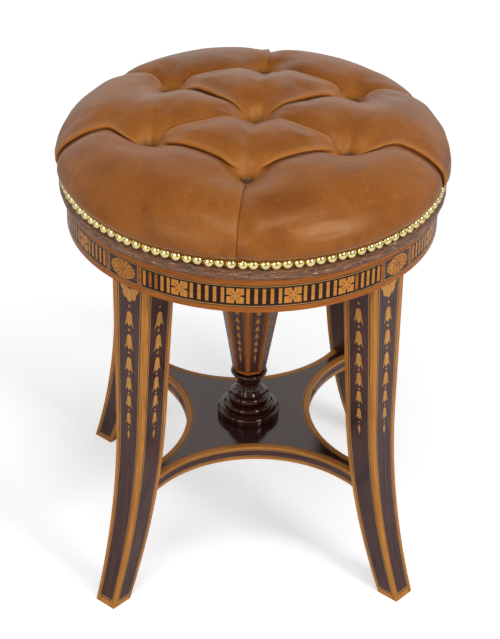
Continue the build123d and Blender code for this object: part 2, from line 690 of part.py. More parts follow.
with BuildPart() as seat_leather:
    for panel_index, panel in enumerate(PANELS):
        tuft_angle = -90 + SEAT_TURN + panel_index * panel_angle
        loft([panel_section(tuft_angle, *station) for station in panel])
    with Locations((0, 0, leather_bottom)):
        Cylinder(
            CORE_RADIUS,
            tuft_bottom - leather_bottom,
            align=(Align.CENTER, Align.CENTER, Align.MIN),
        )
    # Flat seats for the buttons
    with Locations(*tuft_places):
        Cylinder(
            BUTTON_SEAT_RADIUS,
            2 * CENTRE_RISE,
            align=(Align.CENTER, Align.CENTER, Align.MIN),
            mode=Mode.SUBTRACT,
        )
    revolve(stuffing_outline(STUFFING_GAP, rim_bottom), axis=Axis.Z, mode=Mode.SUBTRACT)
    with Locations(*tuft_places):
        Cylinder(TWINE_RADIUS + JOINT_FIT, 4 * PADDING_THICKNESS, mode=Mode.SUBTRACT)
save(seat_leather, "seat_leather")

with BuildPart() as seat_stuffing:
    revolve(stuffing_outline(0, board_top), axis=Axis.Z)
    with Locations(*tuft_places):
        Cylinder(TWINE_RADIUS + JOINT_FIT, 4 * (tuft_bottom - board_top), mode=Mode.SUBTRACT)
save(seat_stuffing, "seat_stuffing")

# Buttons in the tufts and the twine that holds them down
with BuildPart() as tuft_buttons:
    with Locations(*tuft_places):
        Cylinder(BUTTON_RADIUS, BUTTON_HEIGHT, align=(Align.CENTER, Align.CENTER, Align.MIN))
    fillet(tuft_buttons.edges().group_by(Axis.Z)[-1], radius=BUTTON_ROUND)
save(tuft_buttons, "tuft_buttons")

with BuildPart() as tufting_twine:
    with BuildSketch(Plane.XY.offset(board_bottom)):
        with Locations(*[(place.X, place.Y) for place in tuft_places]):
            Circle(TWINE_RADIUS)
    extrude(amount=tuft_bottom - board_bottom)
save(tufting_twine, "tufting_twine")

# Domed brass nails, set head to head round the leather's edge
with BuildPart() as nail:
    with BuildSketch():
        RegularPolygon(NAIL_RADIUS, NAIL_SIDES)
    with BuildSketch(Plane.XY.offset(NAIL_SHOULDER_HEIGHT)):
        RegularPolygon(NAIL_SHOULDER_RADIUS, NAIL_SIDES)
    with BuildSketch(Plane.XY.offset(NAIL_HEIGHT)):
        RegularPolygon(NAIL_CROWN_RADIUS, NAIL_SIDES)
    loft(ruled=True)

nail_planes = []
for nail_index in range(nail_count):
    nail_angle = nail_index * 360 / nail_count
    out = (cos(radians(nail_angle)), sin(radians(nail_angle)), 0)
    seat = polar_point(nail_seat_radius, nail_angle, nail_height)
    nail_planes.append(Plane(origin=seat, x_dir=(0, 0, 1), z_dir=out))
with BuildPart() as brass_nails:
    with Locations(*nail_planes):
        add(nail.part)
save(brass_nails, "brass_nails")
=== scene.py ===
from functools import partial
from math import acos, asin, atan2, ceil, cos, degrees, exp, hypot, pi, radians, sin, sqrt, tan
from random import Random

import bmesh
import bpy
from mathutils import Matrix, Vector, noise
from mathutils.kdtree import KDTree


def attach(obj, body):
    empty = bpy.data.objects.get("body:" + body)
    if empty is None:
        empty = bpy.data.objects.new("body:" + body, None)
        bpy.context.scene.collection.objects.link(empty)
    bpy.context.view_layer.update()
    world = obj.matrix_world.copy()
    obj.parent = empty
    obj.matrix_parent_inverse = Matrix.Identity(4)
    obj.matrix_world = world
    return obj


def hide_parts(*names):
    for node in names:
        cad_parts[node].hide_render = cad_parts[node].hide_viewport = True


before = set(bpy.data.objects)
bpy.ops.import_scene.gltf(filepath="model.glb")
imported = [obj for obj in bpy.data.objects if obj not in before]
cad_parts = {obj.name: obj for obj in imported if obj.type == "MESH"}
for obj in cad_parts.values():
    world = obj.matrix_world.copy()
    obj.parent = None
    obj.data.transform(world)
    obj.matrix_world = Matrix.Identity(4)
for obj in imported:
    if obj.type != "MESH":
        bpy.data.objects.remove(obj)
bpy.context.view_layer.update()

# Sizes are in millimetres and degrees, as in the CAD model, and become metres when a mesh is made
MM = 0.001

# Frieze and the leg heads in it
FRIEZE_RADIUS = 180.0
FRIEZE_INNER = 158.0
FRIEZE_BOTTOM = 361.4
FRIEZE_TOP = 397.0
HEAD_INNER = 133.5
HEAD_HALF = 22.5
EDGE_CHAMFER = 0.4
HEAD_BAND = 3.4
HEAD_LINE = 4.1
HEAD_STRING = 4.9
HEAD_COLUMNS = 8
HEAD_LAP = 1.0

# Legs: distance from the axis and height of the two faces at the head, knee and foot, and the half widths
LEG_ANGLES = {"front_left": -135.0, "front_right": -45.0, "back_right": 45.0, "back_left": 135.0}
LEG_OUTER = ((171.5, FRIEZE_BOTTOM), (175.0, 205.0), (213.0, 0.0))
LEG_INNER = ((133.5, FRIEZE_BOTTOM), (140.0, 205.0), (189.0, 0.0))
LEG_HALF_WIDTHS = ((22.5, FRIEZE_BOTTOM), (16.6, 180.0), (12.25, 0.0))
LEG_STEP = 4.0
LEG_CORNER = 0.7

# Platform, socle and column
PLATFORM_BOTTOM = 111.0
PLATFORM_TOP = 126.0
SCOOP_RADIUS = 120.0
SCOOP_CENTRE = 183.0
ARM_END_TOP = 149.4
ARM_END_BOTTOM = 152.3
COLUMN_FOOT = (17.0, 182.0)
COLUMN_BAND = (17.55, 185.3)
COLUMN_LINE = (17.7, 186.2)
COLUMN_HEAD = (47.0, FRIEZE_BOTTOM)
COLUMN_TURN = -9.0
COLUMN_SIDES = 8

# Seat
SEAT_TURN = -7.6
RIM_INNER = 148.0
RIM_BOTTOM = 397.5
NOSE_START = 178.0
NOSE_CENTRE = 181.5
NOSE_ROUND = 5.5
NOSE_TOP = 409.5
TACK_RAIL = 181.0
BOARD_RADIUS = 165.0
BOARD_BOTTOM = 408.0
BOARD_TOP = 420.0
LEATHER_BOTTOM = 409.9
TACK_LINE = 183.1
NAIL_COUNT = 112
NAIL_RADIUS = 5.0
NAIL_DOME = 4.1
NAIL_HEIGHT = 414.4
BUTTON_RADIUS = 6.2
BUTTON_DOME = 3.8
# Painted shade at the bottoms of the tufts: full out to the flat reach, then fading over the spread
PIT_SHADE_FLAT = 3.0
PIT_SHADE_SPREAD = 5.0
TWINE_RADIUS = 1.0

# Material slots of the inlaid pieces
FIELD, SATIN, STRING, EBONY, FLOWER, SHADE, BAND, GOLD, TABLE = range(9)


# Materials
WARM_GLOSS = (1.0, 0.84, 0.76, 1.0)
GOLDEN_GLOSS = (1.0, 0.72, 0.42, 1.0)
PALE_SHEEN = (1.0, 0.80, 0.62, 1.0)
# How much paler the edges of the folds are: wear and a painted highlight
EDGE_WEAR_HIGHLIGHT_FACTORS = (1.6, 1.9, 2.0)
# How dark the painted shade in the tuft pits makes the leather
PIT_SHADE_FACTOR = 0.22


def new_material(name):
    material = bpy.data.materials.new(name)
    material.use_nodes = True
    tree = material.node_tree
    return material, tree, tree.nodes["Principled BSDF"]


def add_node(tree, kind, **settings):
    node = tree.nodes.new(kind)
    for key, value in settings.items():
        setattr(node, key, value)
    return node


def set_inputs(node, **values):
    for name, value in values.items():
        node.inputs[name.replace("_", " ")].default_value = value


def feed(tree, source, node, name):
    tree.links.new(source, node.inputs[name])


def give(tree, value, socket):
    """Links the socket to another one, or sets it to a number or a colour."""
    if isinstance(value, bpy.types.NodeSocket):
        tree.links.new(value, socket)
    else:
        socket.default_value = value if isinstance(value, float) else (*value, 1.0)


def coordinates(tree, name):
    return add_node(tree, "ShaderNodeTexCoord").outputs[name]


def attribute(tree, name, output):
    return add_node(tree, "ShaderNodeAttribute", attribute_name=name).outputs[output]


def scaled(tree, source, scale):
    mapping = add_node(tree, "ShaderNodeMapping")
    set_inputs(mapping, Scale=scale)
    feed(tree, source, mapping, "Vector")
    return mapping.outputs["Vector"]


def noise_texture(tree, vector, scale, detail=4.0, roughness=0.55, distortion=0.0):
    texture = add_node(tree, "ShaderNodeTexNoise")
    set_inputs(texture, Scale=scale, Detail=detail, Roughness=roughness, Distortion=distortion)
    feed(tree, vector, texture, "Vector")
    return texture.outputs["Fac"]


def ramp(tree, factor, *stops):
    """A ramp of colours, or of greys given as one number each."""
    node = add_node(tree, "ShaderNodeValToRGB")
    elements = node.color_ramp.elements
    while len(elements) < len(stops):
        elements.new(0.5)
    for element, (position, colour) in zip(elements, stops):
        element.position = position
        red, green, blue = (colour, colour, colour) if isinstance(colour, float) else colour
        element.color = (red, green, blue, 1.0)
    feed(tree, factor, node, "Fac")
    return node.outputs["Color"]


def mixed(tree, factor, first, second, blend="MIX"):
    """Two colours mixed. The factor and the colours are sockets or plain values."""
    node = add_node(tree, "ShaderNodeMix", data_type="RGBA", blend_type=blend)
    for index, value in ((0, factor), (6, first), (7, second)):
        give(tree, value, node.inputs[index])
    return node.outputs[2]


def combined(tree, operation, first, second):
    """A math node of two values, each a socket or a number."""
    node = add_node(tree, "ShaderNodeMath", operation=operation)
    give(tree, first, node.inputs[0])
    give(tree, second, node.inputs[1])
    return node.outputs[0]


def bumped(tree, shader, height, strength, distance):
    bump = add_node(tree, "ShaderNodeBump")
    set_inputs(bump, Strength=strength, Distance=distance)
    feed(tree, height, bump, "Height")
    feed(tree, bump.outputs["Normal"], shader, "Normal")


def wood(name, dark, light, roughness, streak, pores, specular, grain=True):
    """Polished wood. The grain runs along the first value of the grain attribute, or along X without it."""
    material, tree, shader = new_material(name)
    if grain:
        source = attribute(tree, "grain", "Vector")
        long_scale, fine_scale = (0.5, 9.0, 5.0), (5.0, 120.0, 5.0)
    else:
        source = coordinates(tree, "Object")
        long_scale, fine_scale = (9.0, 90.0, 90.0), (60.0, 1500.0, 1500.0)
    streaks = noise_texture(tree, scaled(tree, source, long_scale), 3.0 * streak, 6.0, 0.62, 0.6)
    fine = noise_texture(tree, scaled(tree, source, fine_scale), 1.0, 3.0, 0.6)
    colour = ramp(tree, streaks, (0.32, dark), (0.72, light))
    pore = ramp(tree, fine, (0.30, 0.45), (0.52, 1.0))
    feed(tree, mixed(tree, pores, colour, pore, "MULTIPLY"), shader, "Base Color")
    low, high = roughness
    feed(tree, ramp(tree, streaks, (0.25, low), (0.8, high)), shader, "Roughness")
    bumped(tree, shader, fine, 0.10, 0.0003)
    set_inputs(shader, Specular_IOR_Level=specular, Specular_Tint=WARM_GLOSS)
    return material


def worn_wood_with_painted_glints(name, dark, light, pale):
    """Old stained wood with a cracked polish: dents, scratches and small glossy chips, the chips painted
    pale both as wear and as glints of light.
    """
    material, tree, shader = new_material(name)
    source = attribute(tree, "grain", "Vector")
    stain = noise_texture(tree, scaled(tree, source, (1.6, 4.0, 5.0)), 4.0, 6.0, 0.65, 0.8)
    chips = noise_texture(tree, scaled(tree, source, (3.4, 7.0, 5.0)), 4.0, 6.0, 0.7, 0.6)
    colour = ramp(tree, stain, (0.36, dark), (0.64, light))
    # Pale chips: worn spots of the polish and painted glints of light
    chip_wear_and_glints = ramp(tree, chips, (0.59, 0.0), (0.68, 1.0))
    feed(tree, mixed(tree, chip_wear_and_glints, colour, pale), shader, "Base Color")
    feed(tree, ramp(tree, chips, (0.35, 0.42), (0.62, 0.14)), shader, "Roughness")
    bumped(tree, shader, chips, 0.9, 0.0030)
    set_inputs(shader, Specular_IOR_Level=0.5)
    return material


def metal(name, colour, roughness, speckle, scale, bump=0.05):
    """Metal with darker, duller clouds."""
    material, tree, shader = new_material(name)
    source = coordinates(tree, "Object")
    cloud = noise_texture(tree, source, scale, 5.0)
    darker = tuple(value * (1.0 - speckle) for value in colour)
    feed(tree, ramp(tree, cloud, (0.3, darker), (0.65, colour)), shader, "Base Color")
    low, high = roughness
    feed(tree, ramp(tree, cloud, (0.3, high), (0.7, low)), shader, "Roughness")
    bumped(tree, shader, noise_texture(tree, source, scale * 6.0, 3.0), bump, 0.0004)
    set_inputs(shader, Metallic=1.0)
    return material


def leather(name, deep, body, top, ochre):
    """Soft rubbed leather, pebbled and mottled. Painted light: its valleys a brighter, warmer ochre, the
    edges of its folds paler from wear and from a painted highlight, and painted shade darkening the bottoms
    of the tufts.
    """
    material, tree, shader = new_material(name)
    source = coordinates(tree, "Object")
    mottle = noise_texture(tree, source, 13.0, 6.0, 0.62, 0.5)
    colour = ramp(tree, mottle, (0.30, deep), (0.50, body), (0.72, top))
    # Painted light: the valleys a brighter, more saturated ochre, for the light in them and the greyer
    # reflection on the tops
    colour = mixed(tree, attribute(tree, "hollow", "Fac"), colour, ochre)
    fleck = ramp(tree, noise_texture(tree, source, 380.0, 4.0, 0.7), (0.30, 0.74), (0.64, 1.0))
    colour = mixed(tree, 0.7, colour, fleck, "MULTIPLY")
    rubbed = ramp(tree, noise_texture(tree, source, 55.0, 5.0, 0.7, 0.6), (0.56, 0.0), (0.76, 0.5))
    colour = mixed(tree, rubbed, colour, ochre)
    # The edges of the folds paler: wear and a painted highlight along the rolled edge
    pale = tuple(value * factor for value, factor in zip(body, EDGE_WEAR_HIGHLIGHT_FACTORS))
    colour = mixed(tree, attribute(tree, "edge_wear_and_highlight", "Fac"), colour, pale)
    # Painted shade: the leather darkened at the bottoms of the tufts
    dark = tuple(value * PIT_SHADE_FACTOR for value in deep)
    colour = mixed(tree, attribute(tree, "painted_pit_shade", "Fac"), colour, dark)
    feed(tree, colour, shader, "Base Color")
    feed(tree, ramp(tree, mottle, (0.30, 0.32), (0.72, 0.42)), shader, "Roughness")
    pebble = add_node(tree, "ShaderNodeTexVoronoi", feature="F1")
    set_inputs(pebble, Scale=760.0)
    feed(tree, source, pebble, "Vector")
    crackle = mixed(tree, 0.5, pebble.outputs["Distance"], noise_texture(tree, source, 140.0, 4.0))
    bumped(tree, shader, crackle, 0.20, 0.0007)
    set_inputs(shader, Specular_IOR_Level=0.42, Specular_Tint=GOLDEN_GLOSS)
    set_inputs(shader, Sheen_Weight=0.18, Sheen_Roughness=0.35, Sheen_Tint=PALE_SHEEN)
    return material


# Woods of the inlay, in the order of their slots
INLAID = [
    wood("mahogany", (0.026, 0.009, 0.009), (0.086, 0.032, 0.029), (0.18, 0.28), 1.0, 0.3, 0.4),
    wood("satinwood", (0.33, 0.115, 0.019), (0.60, 0.245, 0.043), (0.26, 0.38), 1.6, 0.25, 0.22),
    wood("boxwood_string", (0.34, 0.17, 0.045), (0.50, 0.28, 0.085), (0.3, 0.42), 1.6, 0.2, 0.2),
    wood("ebonized_line", (0.010, 0.003, 0.002), (0.028, 0.008, 0.006), (0.24, 0.36), 1.0, 0.35, 0.2),
    wood("flower_veneer", (0.46, 0.19, 0.034), (0.66, 0.33, 0.080), (0.28, 0.40), 2.2, 0.25, 0.22),
    wood("scorched_veneer", (0.14, 0.045, 0.014), (0.29, 0.10, 0.030), (0.3, 0.42), 1.0, 0.35, 0.15),
    wood("red_satinwood", (0.23, 0.061, 0.008), (0.45, 0.138, 0.018), (0.20, 0.32), 1.6, 0.25, 0.2),
    wood("gold_veneer", (0.40, 0.148, 0.022), (0.60, 0.255, 0.046), (0.22, 0.34), 2.2, 0.3, 0.2),
    wood("polished_mahogany", (0.018, 0.007, 0.007), (0.052, 0.020, 0.018), (0.09, 0.15), 1.0, 0.2, 0.6),
]
TURNED = wood("turned_mahogany", (0.012, 0.003, 0.002), (0.055, 0.014, 0.006), (0.07, 0.13), 1.0, 0.3, 0.6)
# The rim's colours are lightened against the shade that the cushion casts on it; its pale chips are wear and
# painted glints
RIM_WOOD = worn_wood_with_painted_glints("worn_rim_painted_glints", (0.060, 0.022, 0.010), (0.33, 0.135, 0.052), (0.80, 0.66, 0.52))
BEECH = wood("beech", (0.30, 0.18, 0.095), (0.46, 0.31, 0.18), (0.5, 0.65), 1.0, 0.3, 0.3, grain=False)
BRASS = metal("brass", (0.94, 0.79, 0.35), (0.12, 0.22), 0.14, 90.0)
IRON = metal("blackened_iron", (0.10, 0.095, 0.09), (0.42, 0.6), 0.4, 60.0, 0.2)
STEEL = metal("oiled_steel", (0.42, 0.41, 0.40), (0.25, 0.42), 0.3, 120.0)
HIDE = leather(
    "leather", (0.182, 0.051, 0.008), (0.262, 0.080, 0.012), (0.320, 0.108, 0.020), (0.41, 0.142, 0.019)
)
# The buttons' leather is painted dark as the shade at the bottoms of the tuft pits
DARK_HIDE = leather(
    "button_leather_painted_shade", (0.07, 0.020, 0.006), (0.09, 0.027, 0.008), (0.11, 0.035, 0.011), (0.09, 0.027, 0.008)
)
TWINE = wood("waxed_twine", (0.36, 0.27, 0.16), (0.52, 0.42, 0.28), (0.7, 0.8), 3.0, 0.4, 0.2, grain=False)


# Shapes
def add_object(name, data):
    item = bpy.data.objects.new(name, data)
    bpy.context.scene.collection.objects.link(item)
    return item


class Shape:
    """Points in millimetres, with the way the grain runs at each, and faces with their material slots."""

    def __init__(self, seed=0.0):
        self.seed = seed
        self.points = []
        self.grain = []
        self.faces = []
        self.slots = []

    def point(self, place, along=0.0, across=0.0):
        self.points.append(tuple(value * MM for value in place))
        self.grain.append((along * 0.01, across * 0.01, self.seed))
        return len(self.points) - 1

    def face(self, corners, slot=0):
        self.faces.append(tuple(corners))
        self.slots.append(slot)

    def bridge(self, rows, slot_of=None):
        """Quads between closed rows of points that have the same length."""
        for row_index, (first, second) in enumerate(zip(rows, rows[1:])):
            for column in range(len(first)):
                after = (column + 1) % len(first)
                corners = (first[column], first[after], second[after], second[column])
                self.face(corners, slot_of(row_index, column) if slot_of else 0)

    def solid(self, rows, slot_of=None):
        """Bridged rows with a cap at each end."""
        self.bridge(rows, slot_of)
        self.face(reversed(rows[0]))
        self.face(rows[-1])

    def piece(self, name, body, materials, nodes, smooth_angle=35.0):
        """The finished piece, on its body, in place of the CAD nodes that it dresses."""
        mesh = bpy.data.meshes.new(name)
        mesh.from_pydata(self.points, [], self.faces)
        mesh.polygons.foreach_set("material_index", self.slots)
        grain = mesh.attributes.new("grain", "FLOAT_VECTOR", "POINT")
        grain.data.foreach_set("vector", [value for entry in self.grain for value in entry])
        work = bmesh.new()
        work.from_mesh(mesh)
        bmesh.ops.recalc_face_normals(work, faces=work.faces)
        work.to_mesh(mesh)
        work.free()
        mesh.shade_smooth()
        mesh.set_sharp_from_angle(angle=radians(smooth_angle))
        for material in materials:
            mesh.materials.append(material)
        item = add_object(name, mesh)
        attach(item, body)
        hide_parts(*nodes)
        return item


def polar(radius, angle):
    """A place in the plane, at a radius and an angle in degrees."""
    return radius * cos(radians(angle)), radius * sin(radians(angle))


def around(centre, radius, angle):
    """A place in the plane, at a radius and an angle in degrees from a centre."""
    return on_oval(centre, radius, radius, angle)


def on_oval(centre, half_u, half_v, angle):
    return centre[0] + half_u * cos(radians(angle)), centre[1] + half_v * sin(radians(angle))


def turned(reach, side, angle):
    """A place in the plane, its reach along an angle in degrees and its side across it."""
    along, across = polar(1.0, angle)
    return along * reach - across * side, across * reach + along * side


def between(start, end, share):
    """A place on the line from one place in the plane to another."""
    return start[0] + (end[0] - start[0]) * share, start[1] + (end[1] - start[1]) * share


def lathe(shape, profile, segments, wobble=None):
    """A turned ring: the profile is (radius, height) pairs and ends where it starts."""
    rows = []
    for step, (radius, height) in enumerate(profile[:-1]):
        row = []
        for segment in range(segments):
            angle = 2 * pi * segment / segments
            extra = wobble(angle, radius, height) if wobble else 0.0
            place = ((radius + extra) * cos(angle), (radius + extra) * sin(angle), height)
            row.append(shape.point(place, radius * angle, 3.0 * step))
        rows.append(row)
    shape.bridge(rows + rows[:1])


def arc(centre, radius, start, end, steps):
    """Points on an arc, angles in degrees."""
    return [around(centre, radius, start + (end - start) * step / steps) for step in range(steps + 1)]


def dome(shape, place, radius, height, segments, rings):
    """A closed dome. The place turns two distances across and a height into a point."""
    rows = []
    for ring in range(rings):
        reach, rise = radius * cos(0.5 * pi * ring / rings), height * sin(0.5 * pi * ring / rings)
        row = []
        for segment in range(segments):
            u, v = polar(reach, 360.0 * segment / segments)
            row.append(shape.point(place(u, v, rise)))
        rows.append(row)
    shape.bridge(rows)
    tip = shape.point(place(0.0, 0.0, height))
    for segment in range(segments):
        shape.face((rows[-1][segment], rows[-1][(segment + 1) % segments], tip))
    shape.face(reversed(rows[0]))


# Inlaid motifs: outlines in millimetres, laid on a surface as thin plates let into it
PLATE_PROUD = 0.12
PLATE_SUNK = 0.4


def plate(shape, outline, surface, slot, proud=PLATE_PROUD):
    """The surface turns a place on it and a height above it into a point."""
    top = [shape.point(surface(u, v, proud), v, u) for u, v in outline]
    base = [shape.point(surface(u, v, -PLATE_SUNK), v, u) for u, v in outline]
    shape.face(top, slot)
    shape.face(reversed(base), slot)
    for index in range(len(outline)):
        after = (index + 1) % len(outline)
        shape.face((top[index], base[index], base[after], top[after]), slot)


def ellipse(centre, half_u, half_v, steps):
    return [on_oval(centre, half_u, half_v, 360.0 * step / steps) for step in range(steps)]


BELL_HALF = [
    (0.0, 0.0), (0.13, -0.02), (0.24, -0.09), (0.31, -0.24), (0.34, -0.44), (0.38, -0.64), (0.45, -0.82),
    (0.56, -1.0), (0.38, -0.90), (0.25, -0.74), (0.15, -0.88), (0.0, -1.0),
]
BELL_VEIN = [(0.235, -0.74), (0.16, -0.52), (0.11, -0.28), (0.125, -0.52)]
VEIN_PROUD = 1.5 * PLATE_PROUD


def bellflower(shape, surface, top, width, height, slot=FLOWER):
    """A three-petalled husk that hangs from its top."""
    right = [(u * width, top + v * height) for u, v in BELL_HALF]
    left = [(-u, v) for u, v in reversed(right[1:-1])]
    plate(shape, right + left, surface, slot)
    for side in (-1, 1):
        vein = [(side * u * width, top + v * height) for u, v in BELL_VEIN]
        plate(shape, vein, surface, SHADE, VEIN_PROUD)


def husk_chain(shape, surface, flowers, dots, drop):
    """Flowers below each other with dots between them, and a drop at the end."""
    for top, bottom, width in flowers:
        bellflower(shape, surface, top, width, top - bottom)
    for height, radius in dots:
        plate(shape, ellipse((0.0, height), radius, radius, 10), surface, STRING)
    top, bottom, width = drop
    middle = bottom + 0.65 * (top - bottom)
    outline = [(0.0, top), (width / 2, middle), (0.0, bottom), (-width / 2, middle)]
    plate(shape, outline, surface, FLOWER)


FAN_RADIUS = 11.6
FAN_DROP = 20.6
FAN_PETALS = 5


def fan(shape, surface, top):
    """A half patera that hangs from the top: scalloped petals round a dark half disc."""
    for petal in range(FAN_PETALS):
        start = 180.0 + 180.0 * petal / FAN_PETALS
        outline = []
        for step in range(9):
            angle = start + 180.0 / FAN_PETALS * step / 8
            reach = 0.90 + 0.16 * sqrt(sin(pi * step / 8)) if 0 < step < 8 else 0.90
            outline.append(on_oval((0.0, top), FAN_RADIUS * reach, FAN_DROP * reach, angle))
        outline += [between((0.0, top), corner, 0.44) for corner in (outline[-1], outline[0])]
        plate(shape, outline, surface, FLOWER)
        angle = radians(start)
        crease = []
        for share, width in ((0.50, 0.25), (0.86, 0.12), (0.50, -0.25)):
            u = FAN_RADIUS * share * cos(angle) - width * sin(angle)
            v = FAN_DROP * share * sin(angle) + width * cos(angle)
            crease.append((u, top + v))
        if petal:
            plate(shape, crease, surface, SHADE, VEIN_PROUD)
    for share, slot, proud in ((0.43, SHADE, 1.0), (0.36, EBONY, 1.3), (0.30, FLOWER, 1.6)):
        halves = (share * FAN_RADIUS, share * FAN_DROP)
        disc = [on_oval((0.0, top), *halves, angle) for angle in range(180, 361, 18)]
        plate(shape, disc, surface, slot, proud * PLATE_PROUD)


OVAL_HALF = (14.2, 9.0)
OVAL_RAYS = 28


def oval_patera(shape, surface, centre):
    """A sunburst oval: rays of two veneers between a pale outline and a small boss."""
    for margin, slot, proud in ((1.3, EBONY, 0.3), (0.7, STRING, 0.6)):
        outline = ellipse(centre, OVAL_HALF[0] + margin, OVAL_HALF[1] + margin, 48)
        plate(shape, outline, surface, slot, proud * PLATE_PROUD)
    for ray in range(OVAL_RAYS):
        outline = []
        for step in range(4):
            angle = 360.0 * (ray + 0.03 + 0.94 * step / 3) / OVAL_RAYS
            outline.append(on_oval(centre, *OVAL_HALF, angle))
        outline += [between(centre, corner, 0.2) for corner in (outline[-1], outline[0])]
        plate(shape, outline, surface, GOLD if ray % 2 else BAND)
    plate(shape, ellipse(centre, 2.6, 1.9, 14), surface, SHADE)
    plate(shape, ellipse(centre, 1.1, 0.9, 8), surface, STRING, VEIN_PROUD)


SQUARE_HALF = 8.0
SQUARE_GAP = 1.1


def petal_square(shape, surface, centre):
    """Four joined quarter petals, with dark notches at the mid sides and a dark cross round the middle."""
    half = SQUARE_HALF
    gap = SQUARE_GAP
    quarter = [(0.0, 0.0), (0.42 * half, 0.05), (0.55 * half, 0.5 * gap), (half, gap)]
    quarter += [(half, half), (gap, half), (0.5 * gap, 0.55 * half), (0.05, 0.42 * half)]
    lozenge = [(0.8, 0.8), (2.6, 1.6), (4.4, 4.4), (1.6, 2.6)]
    for side_u in (-1, 1):
        for side_v in (-1, 1):
            for outline, slot, proud in ((quarter, GOLD, 1.0), (lozenge, SHADE, 1.5)):
                placed = [(centre[0] + side_u * u, centre[1] + side_v * v) for u, v in outline]
                plate(shape, placed, surface, slot, proud * PLATE_PROUD)


# Rows of the frieze, from the bottom up, and the slots of the strips between them
FRIEZE_ROWS = [361.8, 367.2, 367.9, 368.7, 370.9, 387.0, 388.6, 389.4, 390.2, 396.2]
FRIEZE_STRIPS = [BAND, EBONY, STRING, EBONY, None, EBONY, STRING, EBONY, BAND]
FRIEZE_STEP = 1.3
BAR_MIDDLE = 378.9
BAR_WIDTH = 3.2
BAR_COUNT = 5
BAR_VENEERS = (GOLD,) * 6 + (BAND,)
SQUARE_ANGLES = (-25.1, -8.4, 8.4, 25.1)
HEAD_HALF_ANGLE = degrees(asin(HEAD_HALF / FRIEZE_RADIUS))
RAIL_HALF_ANGLE = 45.0 - HEAD_HALF_ANGLE
RAIL_ANGLES = {"front": -90.0, "right": 0.0, "back": 90.0, "left": 180.0}


def frieze_surface(angle):
    """U runs along the frieze from the angle, V is the height."""

    def place(u, v, proud):
        return (*polar(FRIEZE_RADIUS + proud, angle + degrees(u / FRIEZE_RADIUS)), v)

    return place


def frieze_block(shape, angles, slots, inner_point, posts=()):
    """A stretch of the frieze with square ends. Each angle is a column, and each slot the strip after it.
    The posts are the columns that cross the rows of lines."""
    edge = FRIEZE_RADIUS - EDGE_CHAMFER
    profile = [(edge, FRIEZE_BOTTOM)] + [(FRIEZE_RADIUS, row) for row in FRIEZE_ROWS]
    profile += [(FRIEZE_RADIUS, FRIEZE_TOP - EDGE_CHAMFER), (edge, FRIEZE_TOP)]
    loops = []
    for angle in angles:
        along = FRIEZE_RADIUS * radians(angle)
        loop = [shape.point((*polar(radius, angle), height), along, height) for radius, height in profile]
        for height in (FRIEZE_TOP, FRIEZE_BOTTOM):
            loop.append(shape.point((*inner_point(angle), height), along, height + 40.0))
        loops.append(loop)

    def slot_of(column, row):
        if row == 0:
            return BAND
        if row > len(FRIEZE_STRIPS):
            return FIELD
        if column in posts and 1 < row < len(FRIEZE_STRIPS):
            inset = row in (2, len(FRIEZE_STRIPS) - 1)
            return EBONY if inset and slots[column] == STRING else slots[column]
        strip = FRIEZE_STRIPS[row - 1]
        return slots[column] if strip is None else strip

    shape.solid(loops, slot_of)


def build_frieze_rail(name, middle):
    shape = Shape(seed=middle * 0.37 + 3.0)
    half_square = degrees(SQUARE_HALF / FRIEZE_RADIUS)
    half_bar = degrees(BAR_WIDTH / 2 / FRIEZE_RADIUS)
    starts = [-RAIL_HALF_ANGLE] + [square + half_square for square in SQUARE_ANGLES]
    ends = [square - half_square for square in SQUARE_ANGLES] + [RAIL_HALF_ANGLE]
    angles = [-RAIL_HALF_ANGLE]
    slots = []
    chance = Random(int(middle) + 200)
    for start, end in zip(starts, ends):
        pitch = (end - start) / BAR_COUNT
        for index in range(BAR_COUNT):
            bar = start + (index + 0.5) * pitch
            angles += [bar - half_bar, bar + half_bar]
            slots += [EBONY, chance.choice(BAR_VENEERS)]
    angles.append(RAIL_HALF_ANGLE)
    slots.append(EBONY)
    fine_angles = []
    fine_slots = []
    for start, end, slot in zip(angles, angles[1:], slots):
        parts = max(1, ceil((end - start) / FRIEZE_STEP))
        fine_angles += [middle + start + (end - start) * part / parts for part in range(parts)]
        fine_slots += [slot] * parts
    fine_angles.append(middle + angles[-1])
    frieze_block(shape, fine_angles, fine_slots, partial(polar, FRIEZE_INNER))
    for square in SQUARE_ANGLES:
        petal_square(shape, frieze_surface(middle + square), (0.0, BAR_MIDDLE))
    shape.piece("inlaid_frieze_" + name, "base", INLAID, ["frieze_" + name])


for rail_name, rail_middle in RAIL_ANGLES.items():
    build_frieze_rail(rail_name, rail_middle)


# Legs
def swept_edge(edge, height):
    """How far a leg's outer or inner face is from the axis: straight to the knee, then an arc."""
    top, knee, foot = edge
    if height >= knee[1]:
        return knee[0] + (top[0] - knee[0]) * (height - knee[1]) / (top[1] - knee[1])
    run = hypot(knee[0] - top[0], knee[1] - top[1])
    normal = ((top[1] - knee[1]) / run, (knee[0] - top[0]) / run)
    chord = (foot[0] - knee[0], foot[1] - knee[1])
    radius = (chord[0] ** 2 + chord[1] ** 2) / (2 * (chord[0] * normal[0] + chord[1] * normal[1]))
    centre = (knee[0] + normal[0] * radius, knee[1] + normal[1] * radius)
    return centre[0] - sqrt(radius**2 - (height - centre[1]) ** 2)


def leg_half_width(height):
    """Half the leg's width: the parabola through the three given half widths."""
    total = 0.0
    for width, own in LEG_HALF_WIDTHS:
        for _, other in LEG_HALF_WIDTHS:
            if other != own:
                width *= (height - other) / (own - other)
        total += width
    return total


